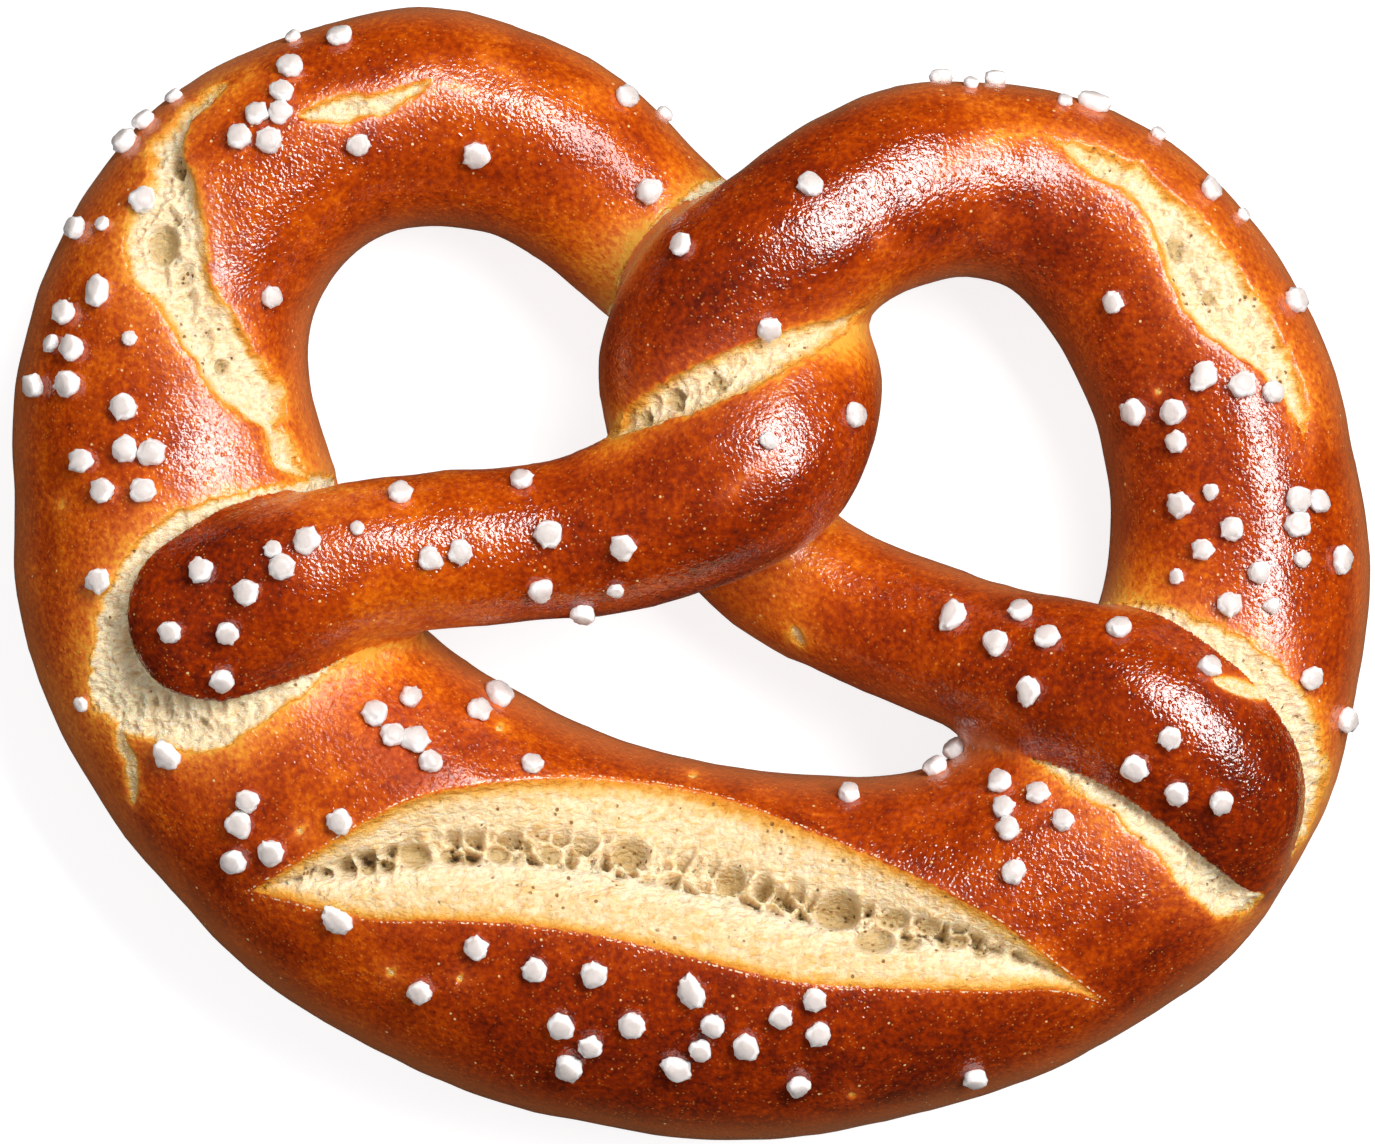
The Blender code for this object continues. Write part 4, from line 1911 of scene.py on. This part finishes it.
@dataclass(frozen=True)
class CrustFinish:
    """Glossy lye crust that grades to gold at the openings.

    Clouds, dots and bumps are in metres, and what lies beside an opening is in millimetres.
    """

    mottle: Cloud = Cloud(0.0007, 3.0)
    mottling: float = 0.75
    streaks: Cloud = Cloud(0.0032)
    streaking: float = 0.45
    streak_stretch: float = 1.7
    lip_width: float = 0.6
    lip_paling: float = 0.12
    glow_paling: float = 0.36
    fleck: Colour = (0.78, 0.34, 0.07)
    flecks: Dots = Dots(0.0006, 0.26, 0.16)
    fleck_patches: Cloud = Cloud(0.0024, start=0.38, full=0.62)
    fleck_share: float = 0.5
    # Painted sheen: a lighter colour on the low flanks, standing in for the pale table mirrored there.
    edge_sheen: Colour = (0.66, 0.20, 0.06)
    edge_sheen_share: float = 0.7
    prick: Colour = (0.85, 0.60, 0.26)
    pricks: Dots = Dots(0.0028, 0.075, 0.03)
    prick_share: float = 0.8
    # Painted glints: pale dots along the slash's edge that stand in for highlights on its curled lip.
    lip_glint: Colour = (0.85, 0.66, 0.42)
    lip_glints: Cloud = Cloud(0.00040, 1.0, start=0.52, full=0.62)
    glint_line: float = 0.26
    glint_reach: float = 0.14
    glint_edge: float = 0.10
    grains: Cloud = Cloud(0.00045, 0.6, 0.6)
    blisters: Dots = Dots(0.0009, 0.36, 0.36)
    blister_share: float = 0.7
    waves: Cloud = Cloud(0.0022, 1.0, 0.5)
    wave_share: float = 0.8
    bump: float = 0.00009
    gloss: float = 0.13
    plain: float = 0.5
    shine: float = 0.95
    plain_shine: float = 0.12
    pale_bake: float = 0.48
    pale_matt: float = 0.8
    glow_matt: float = 0.25
    under_matt: float = 0.3
    mottle_matt: float = 0.15
    bloom: float = 0.15
    bloom_spread: float = 0.3
    bloom_tint: Colour = (0.90, 0.60, 0.42)

    def surface(self, shader: Shader, opening: Value) -> bpy.types.NodeSocket:
        """Makes the crust.

        Args:
            shader: the material it is part of.
            opening: how far inside an opening it is, in millimetres, negative outside.

        Returns:
            The crust's surface.
        """
        glow = shader.attribute("glow")
        baked = shader.attribute("bake")
        mottle = shader.clouds(self.mottle) - CLOUD_MIDDLE
        streaks = shader.clouds(self.streaks, shader.on_rope(self.streak_stretch)) - CLOUD_MIDDLE
        lip = opening.step(-self.lip_width, 0.0)
        bake = baked + mottle * self.mottling + streaks * self.streaking
        bake -= glow * self.glow_paling + lip * self.lip_paling
        colour = shader.ramp(bake, [stage.value for stage in Bake])
        for share, tint in self._touches(shader, opening):
            colour = shader.mix(share, colour, tint)
        blisters = shader.dots(self.blisters) * self.blister_share
        height = shader.clouds(self.grains) + blisters + shader.clouds(self.waves) * self.wave_share
        normal = shader.bump(height, self.bump)
        matt = (self.pale_bake - baked).at_least(0.0) * self.pale_matt + glow * self.glow_matt
        matt += shader.attribute("under") * self.under_matt + mottle * self.mottle_matt
        glossy = self._skin(shader, colour, self.gloss + matt, self.shine, normal)
        plain = self._skin(shader, colour, matt + self.plain, self.plain_shine, normal)
        return shader.blend(shader.attribute("dull"), glossy, plain)

    def _touches(self, shader: Shader, opening: Value) -> list[tuple[Value, Colour]]:
        """Works out what lies over the baked colour.

        Args:
            shader: the material it is part of.
            opening: how far inside an opening it is, in millimetres, negative outside.

        Returns:
            The share and the colour of each, the lowest first: golden flecks, painted sheen on the low
            flanks, pale pricks, and painted glints along the slash's edge.
        """
        flecks = shader.dots(self.flecks) * shader.patches(self.fleck_patches)
        # Painted glints along the slash's edge.
        off_line = (opening + self.glint_line).size()
        lip_glints = (self.glint_reach - off_line).step(0.0, self.glint_edge) * shader.patches(self.lip_glints)
        return [
            (flecks * self.fleck_share, self.fleck),
            (shader.attribute("edge_sheen") * self.edge_sheen_share, self.edge_sheen),
            (shader.dots(self.pricks) * self.prick_share, self.prick),
            (lip_glints * shader.attribute("lip"), self.lip_glint),
        ]

    def _skin(
        self, shader: Shader, colour: Any, roughness: Value, shine: float, normal: Any
    ) -> bpy.types.NodeSocket:
        """Makes baked crust of one shine.

        Args:
            shader: the material it is part of.
            colour: its colour.
            roughness: how rough it is.
            shine: how strongly it mirrors.
            normal: its bumps.

        Returns:
            The crust's surface.
        """
        return shader.principled({
            "Base Color": colour,
            "Roughness": roughness,
            "Specular IOR Level": shine,
            "Sheen Weight": self.bloom,
            "Sheen Roughness": self.bloom_spread,
            "Sheen Tint": self.bloom_tint,
            "Normal": normal,
        })


@dataclass(frozen=True)
class CrumbFinish:
    """Pale open crumb, toasted towards its edges and along its strands, with painted shade in its hollows
    and pinholes.
    """

    skin: Colour = (0.76, 0.53, 0.26)
    skin_light: Colour = (0.84, 0.65, 0.40)
    soft: Cloud = Cloud(0.0012, 3.0, start=0.36, full=0.64)
    inner: Colour = (0.90, 0.79, 0.58)
    inner_share: float = 0.8
    toasted: Colour = (0.76, 0.40, 0.065)
    strands: Cloud = Cloud(0.0008, 2.0, 0.6, start=0.48, full=0.64)
    strand_stretch: tuple[float, float, float] = (0.6, 1.3, 1.0)
    toast_patches: Cloud = Cloud(0.0045, 1.0, start=0.35, full=0.65)
    toast_least: float = 0.3
    toast_more: float = 0.5
    toast_share: float = 0.8
    raw_untoasted: float = 0.5
    edge_wander: float = 1.1
    toasted_edge: Range = (0.1, 2.0)
    rim: Colour = (0.66, 0.25, 0.018)
    rim_edge: Range = (0.0, 0.8)
    # Painted shade for the hollows of the crumb's cells and bubbles.
    pit_shade: Colour = (0.50, 0.34, 0.14)
    pit_share: float = 0.85
    # Painted shade for pinholes too small to be modelled.
    pinhole_shade: Colour = (0.30, 0.15, 0.045)
    pinholes: Dots = Dots(0.0011, 0.26, 0.10)
    pinhole_patches: Cloud = Cloud(0.0030, 1.0, start=0.58, full=0.66)
    pit_pinholes: float = 0.20
    fuzz: Cloud = Cloud(0.0005)
    fuzz_share: float = 0.5
    pinhole_depth: float = 0.5
    bump: float = 0.0006
    roughness: float = 0.75
    shine: float = 0.25
    depth: float = 0.0014
    depth_share: float = 0.65
    depth_colour: Colour = (1.0, 0.62, 0.32)

    def surface(self, shader: Shader, opening: Value) -> bpy.types.NodeSocket:
        """Makes the crumb.

        Args:
            shader: the material it is part of.
            opening: how far inside an opening it is, in millimetres, negative outside.

        Returns:
            The crumb's surface.
        """
        raw = shader.attribute("raw")
        pit_shade = shader.attribute("pit_shade")
        soft = shader.clouds(self.soft)
        strands = shader.clouds(self.strands, shader.stretched(self.strand_stretch))
        toast = shader.patches(self.toast_patches) * self.toast_more + self.toast_least
        toast *= strands.step(self.strands.start, self.strands.full)
        toast *= self.toast_share - raw * self.raw_untoasted
        near = opening + (soft - CLOUD_MIDDLE) * self.edge_wander
        pinholes = shader.dots(self.pinholes)
        crowding = shader.clouds(self.pinhole_patches) + pit_shade * self.pit_pinholes
        pinholes *= crowding.step(self.pinhole_patches.start, self.pinhole_patches.full)
        colour = shader.mix(soft.step(self.soft.start, self.soft.full), self.skin, self.skin_light)
        layers = (
            (raw * self.inner_share, self.inner),
            (toast, self.toasted),
            (1.0 - near.step(*self.toasted_edge), self.toasted),
            (1.0 - near.step(*self.rim_edge), self.rim),
            # Painted shade in the hollows.
            (pit_shade * self.pit_share, self.pit_shade),
            # Painted shade in the pinholes.
            (pinholes, self.pinhole_shade),
        )
        for share, tint in layers:
            colour = shader.mix(share, colour, tint)
        grain = strands + shader.clouds(self.fuzz) * self.fuzz_share - pinholes * self.pinhole_depth
        return shader.principled({
            "Base Color": colour,
            "Roughness": self.roughness,
            "Specular IOR Level": self.shine,
            "Subsurface Weight": self.depth_share,
            "Subsurface Radius": self.depth_colour,
            "Subsurface Scale": self.depth,
            "Normal": shader.bump(grain, self.bump),
        })


@dataclass(frozen=True)
class BreadFinish:
    """Crust, and crumb where it stands open, with a ragged edge between them."""

    crust: CrustFinish = CrustFinish()
    crumb: CrumbFinish = CrumbFinish()
    ragged: Cloud = Cloud(0.0009)
    raggedness: float = 0.7
    edge: Range = (-0.10, 0.14)

    def material(self) -> bpy.types.Material:
        """Makes the bread's finish.

        Returns:
            The material.
        """
        shader = Shader("bread")
        opening = shader.attribute("opening")
        ragged = (shader.clouds(self.ragged) - CLOUD_MIDDLE) * self.raggedness
        edge = (opening + ragged).step(*self.edge)
        crust = self.crust.surface(shader, opening)
        crumb = self.crumb.surface(shader, opening)
        return shader.finish(shader.blend(edge, crust, crumb))


@dataclass(frozen=True)
class SaltFinish:
    """Opaque white salt, with painted light making it brightest round its rim."""

    white: Colour = (0.63, 0.56, 0.53)
    # Painted light: the thin rim is lighter, standing in for light through its edges.
    rim: Colour = (0.93, 0.90, 0.88)
    rim_edge: Range = (0.66, 0.95)
    milk: Cloud = Cloud(0.0016, 3.0)
    milkiness: float = 0.5
    roughness: float = 0.38
    depth_share: float = 0.35
    depth: tuple[float, float, float] = (0.0012, 0.0011, 0.0010)
    crystals: Cloud = Cloud(0.0006, 3.0)
    bump: float = 0.00006

    def material(self) -> bpy.types.Material:
        """Makes the salt's finish.

        Returns:
            The material.
        """
        shader = Shader("salt")
        edge = shader.attribute("rim").step(*self.rim_edge)
        milk = (shader.clouds(self.milk) - CLOUD_MIDDLE) * self.milkiness + edge
        surface = shader.principled({
            "Base Color": shader.mix(milk.clamped(), self.white, self.rim),
            "Roughness": self.roughness,
            "Subsurface Weight": self.depth_share,
            "Subsurface Radius": self.depth,
            "Subsurface Scale": 1.0,
            "Normal": shader.bump(shader.clouds(self.crystals), self.bump),
        })
        return shader.finish(surface)


@dataclass(frozen=True)
class TableFinish:
    """A plain, pale, matt table."""

    pale: Colour = (0.35, 0.35, 0.35)
    roughness: float = 0.9
    glow: float = 0.82

    def material(self) -> bpy.types.Material:
        """Makes the table's finish.

        Returns:
            The material.
        """
        shader = Shader("table")
        surface = shader.principled({
            "Base Color": self.pale,
            "Roughness": self.roughness,
            "Emission Color": WHITE,
            "Emission Strength": self.glow,
        })
        return shader.finish(surface)


# ---------------------------------------------------------------------------------------------
# The studio
# ---------------------------------------------------------------------------------------------


@dataclass(frozen=True)
class Softbox:
    """A soft light, aimed at the pretzel.

    Attributes:
        name: its name.
        place: where it hangs, in metres.
        size: how long and how wide it is, in metres.
        watts: its power.
        mirrored: whether glossy crust mirrors it.
    """

    name: str
    place: tuple[float, float, float]
    size: tuple[float, float]
    watts: float
    mirrored: bool = True


@dataclass
class Studio:
    """The table, the lights and the camera.

    Attributes:
        centre: the middle of the pretzel.
        width: the pretzel's width, in metres.
        frame_share: how much of the frame's width it fills.
        camera_height: how high the camera hangs, in metres.
        silhouette_height: how high the pretzel's widest outline is, in metres.
        sensor: the camera's sensor, in millimetres.
        table_side: the table's side, in metres.
        sky: how strong the room's even light is.
        softboxes: the lights.
    """

    centre: Vector
    width: float
    frame_share: float = 0.9876364
    camera_height: float = 1.6
    silhouette_height: float = 0.014
    sensor: float = 36.0
    table_side: float = 8.0
    sky: float = 0.32
    softboxes: tuple[Softbox, ...] = (
        Softbox("key", (0.50, 0.35, 0.95), (1.05, 0.38), 18.0),
        Softbox("fill", (-0.60, -0.10, 1.10), (1.40, 1.40), 2.8, mirrored=False),
    )

    def build(self) -> None:
        """Lays the table, sets the lights and places the camera."""
        self._table()
        for softbox in self.softboxes:
            self._light(softbox)
        self._sky()
        self._camera()

    def _table(self) -> None:
        """Lays the table."""
        bpy.ops.mesh.primitive_plane_add(size=self.table_side, location=(0.0, 0.0, 0.0))
        table = bpy.context.object
        table.name = "table"
        table.data.materials.append(TableFinish().material())
        table.visible_glossy = False
        table.visible_diffuse = False
        LOG.info("table: %.1f m", self.table_side)

    def _light(self, softbox: Softbox) -> None:
        """Hangs a softbox and aims it.

        Args:
            softbox: what it is like.
        """
        place = Vector(softbox.place)
        bpy.ops.object.light_add(type="AREA", location=place)
        light = bpy.context.object
        light.name = softbox.name
        light.data.shape = "RECTANGLE"
        light.data.size, light.data.size_y = softbox.size
        light.data.energy = softbox.watts
        light.visible_glossy = softbox.mirrored
        light.rotation_euler = (self.centre - place).to_track_quat("-Z", "Y").to_euler()
        LOG.info("softbox: %s", softbox.name)

    def _sky(self) -> None:
        """Fills the room with even light."""
        world = bpy.data.worlds.new("room")
        bpy.context.scene.world = world
        world.use_nodes = True
        world.cycles_visibility.glossy = False
        background = world.node_tree.nodes["Background"]
        background.inputs["Color"].default_value = (*WHITE, 1.0)
        background.inputs["Strength"].default_value = self.sky

    def _camera(self) -> None:
        """Looks straight down, so close that the pretzel nearly fills the frame."""
        place = Vector((self.centre.x, self.centre.y, self.camera_height))
        bpy.ops.object.camera_add(location=place, rotation=(0.0, 0.0, 0.0))
        camera = bpy.context.object
        camera.name = "camera"
        camera.data.sensor_width = self.sensor
        seen = self.width / self.frame_share
        camera.data.lens = self.sensor * (self.camera_height - self.silhouette_height) / seen
        bpy.context.scene.camera = camera
        bpy.context.scene.view_settings.view_transform = "Standard"


def hand_over(piece: bpy.types.Object, material: bpy.types.Material) -> None:
    """Dresses a piece and tells the frame what it is.

    Args:
        piece: the finished piece.
        material: what it is dressed in.
    """
    piece.data.materials.clear()
    piece.data.materials.append(material)
    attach(piece, BODY)


def main() -> None:
    """Bakes the bread, salts it and sets up the studio."""
    logging.basicConfig(level=logging.INFO, format="%(name)s: %(message)s")
    baker = Bread()
    bread = baker.build()
    hand_over(bread, BreadFinish().material())
    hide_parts(NODE)
    salt = Salt(baker.layout, bread).build()
    hand_over(salt, SaltFinish().material())
    low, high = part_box(NODE)
    Studio((low + high) / 2, high.x - low.x).build()


if __name__ == "__main__":
    main()
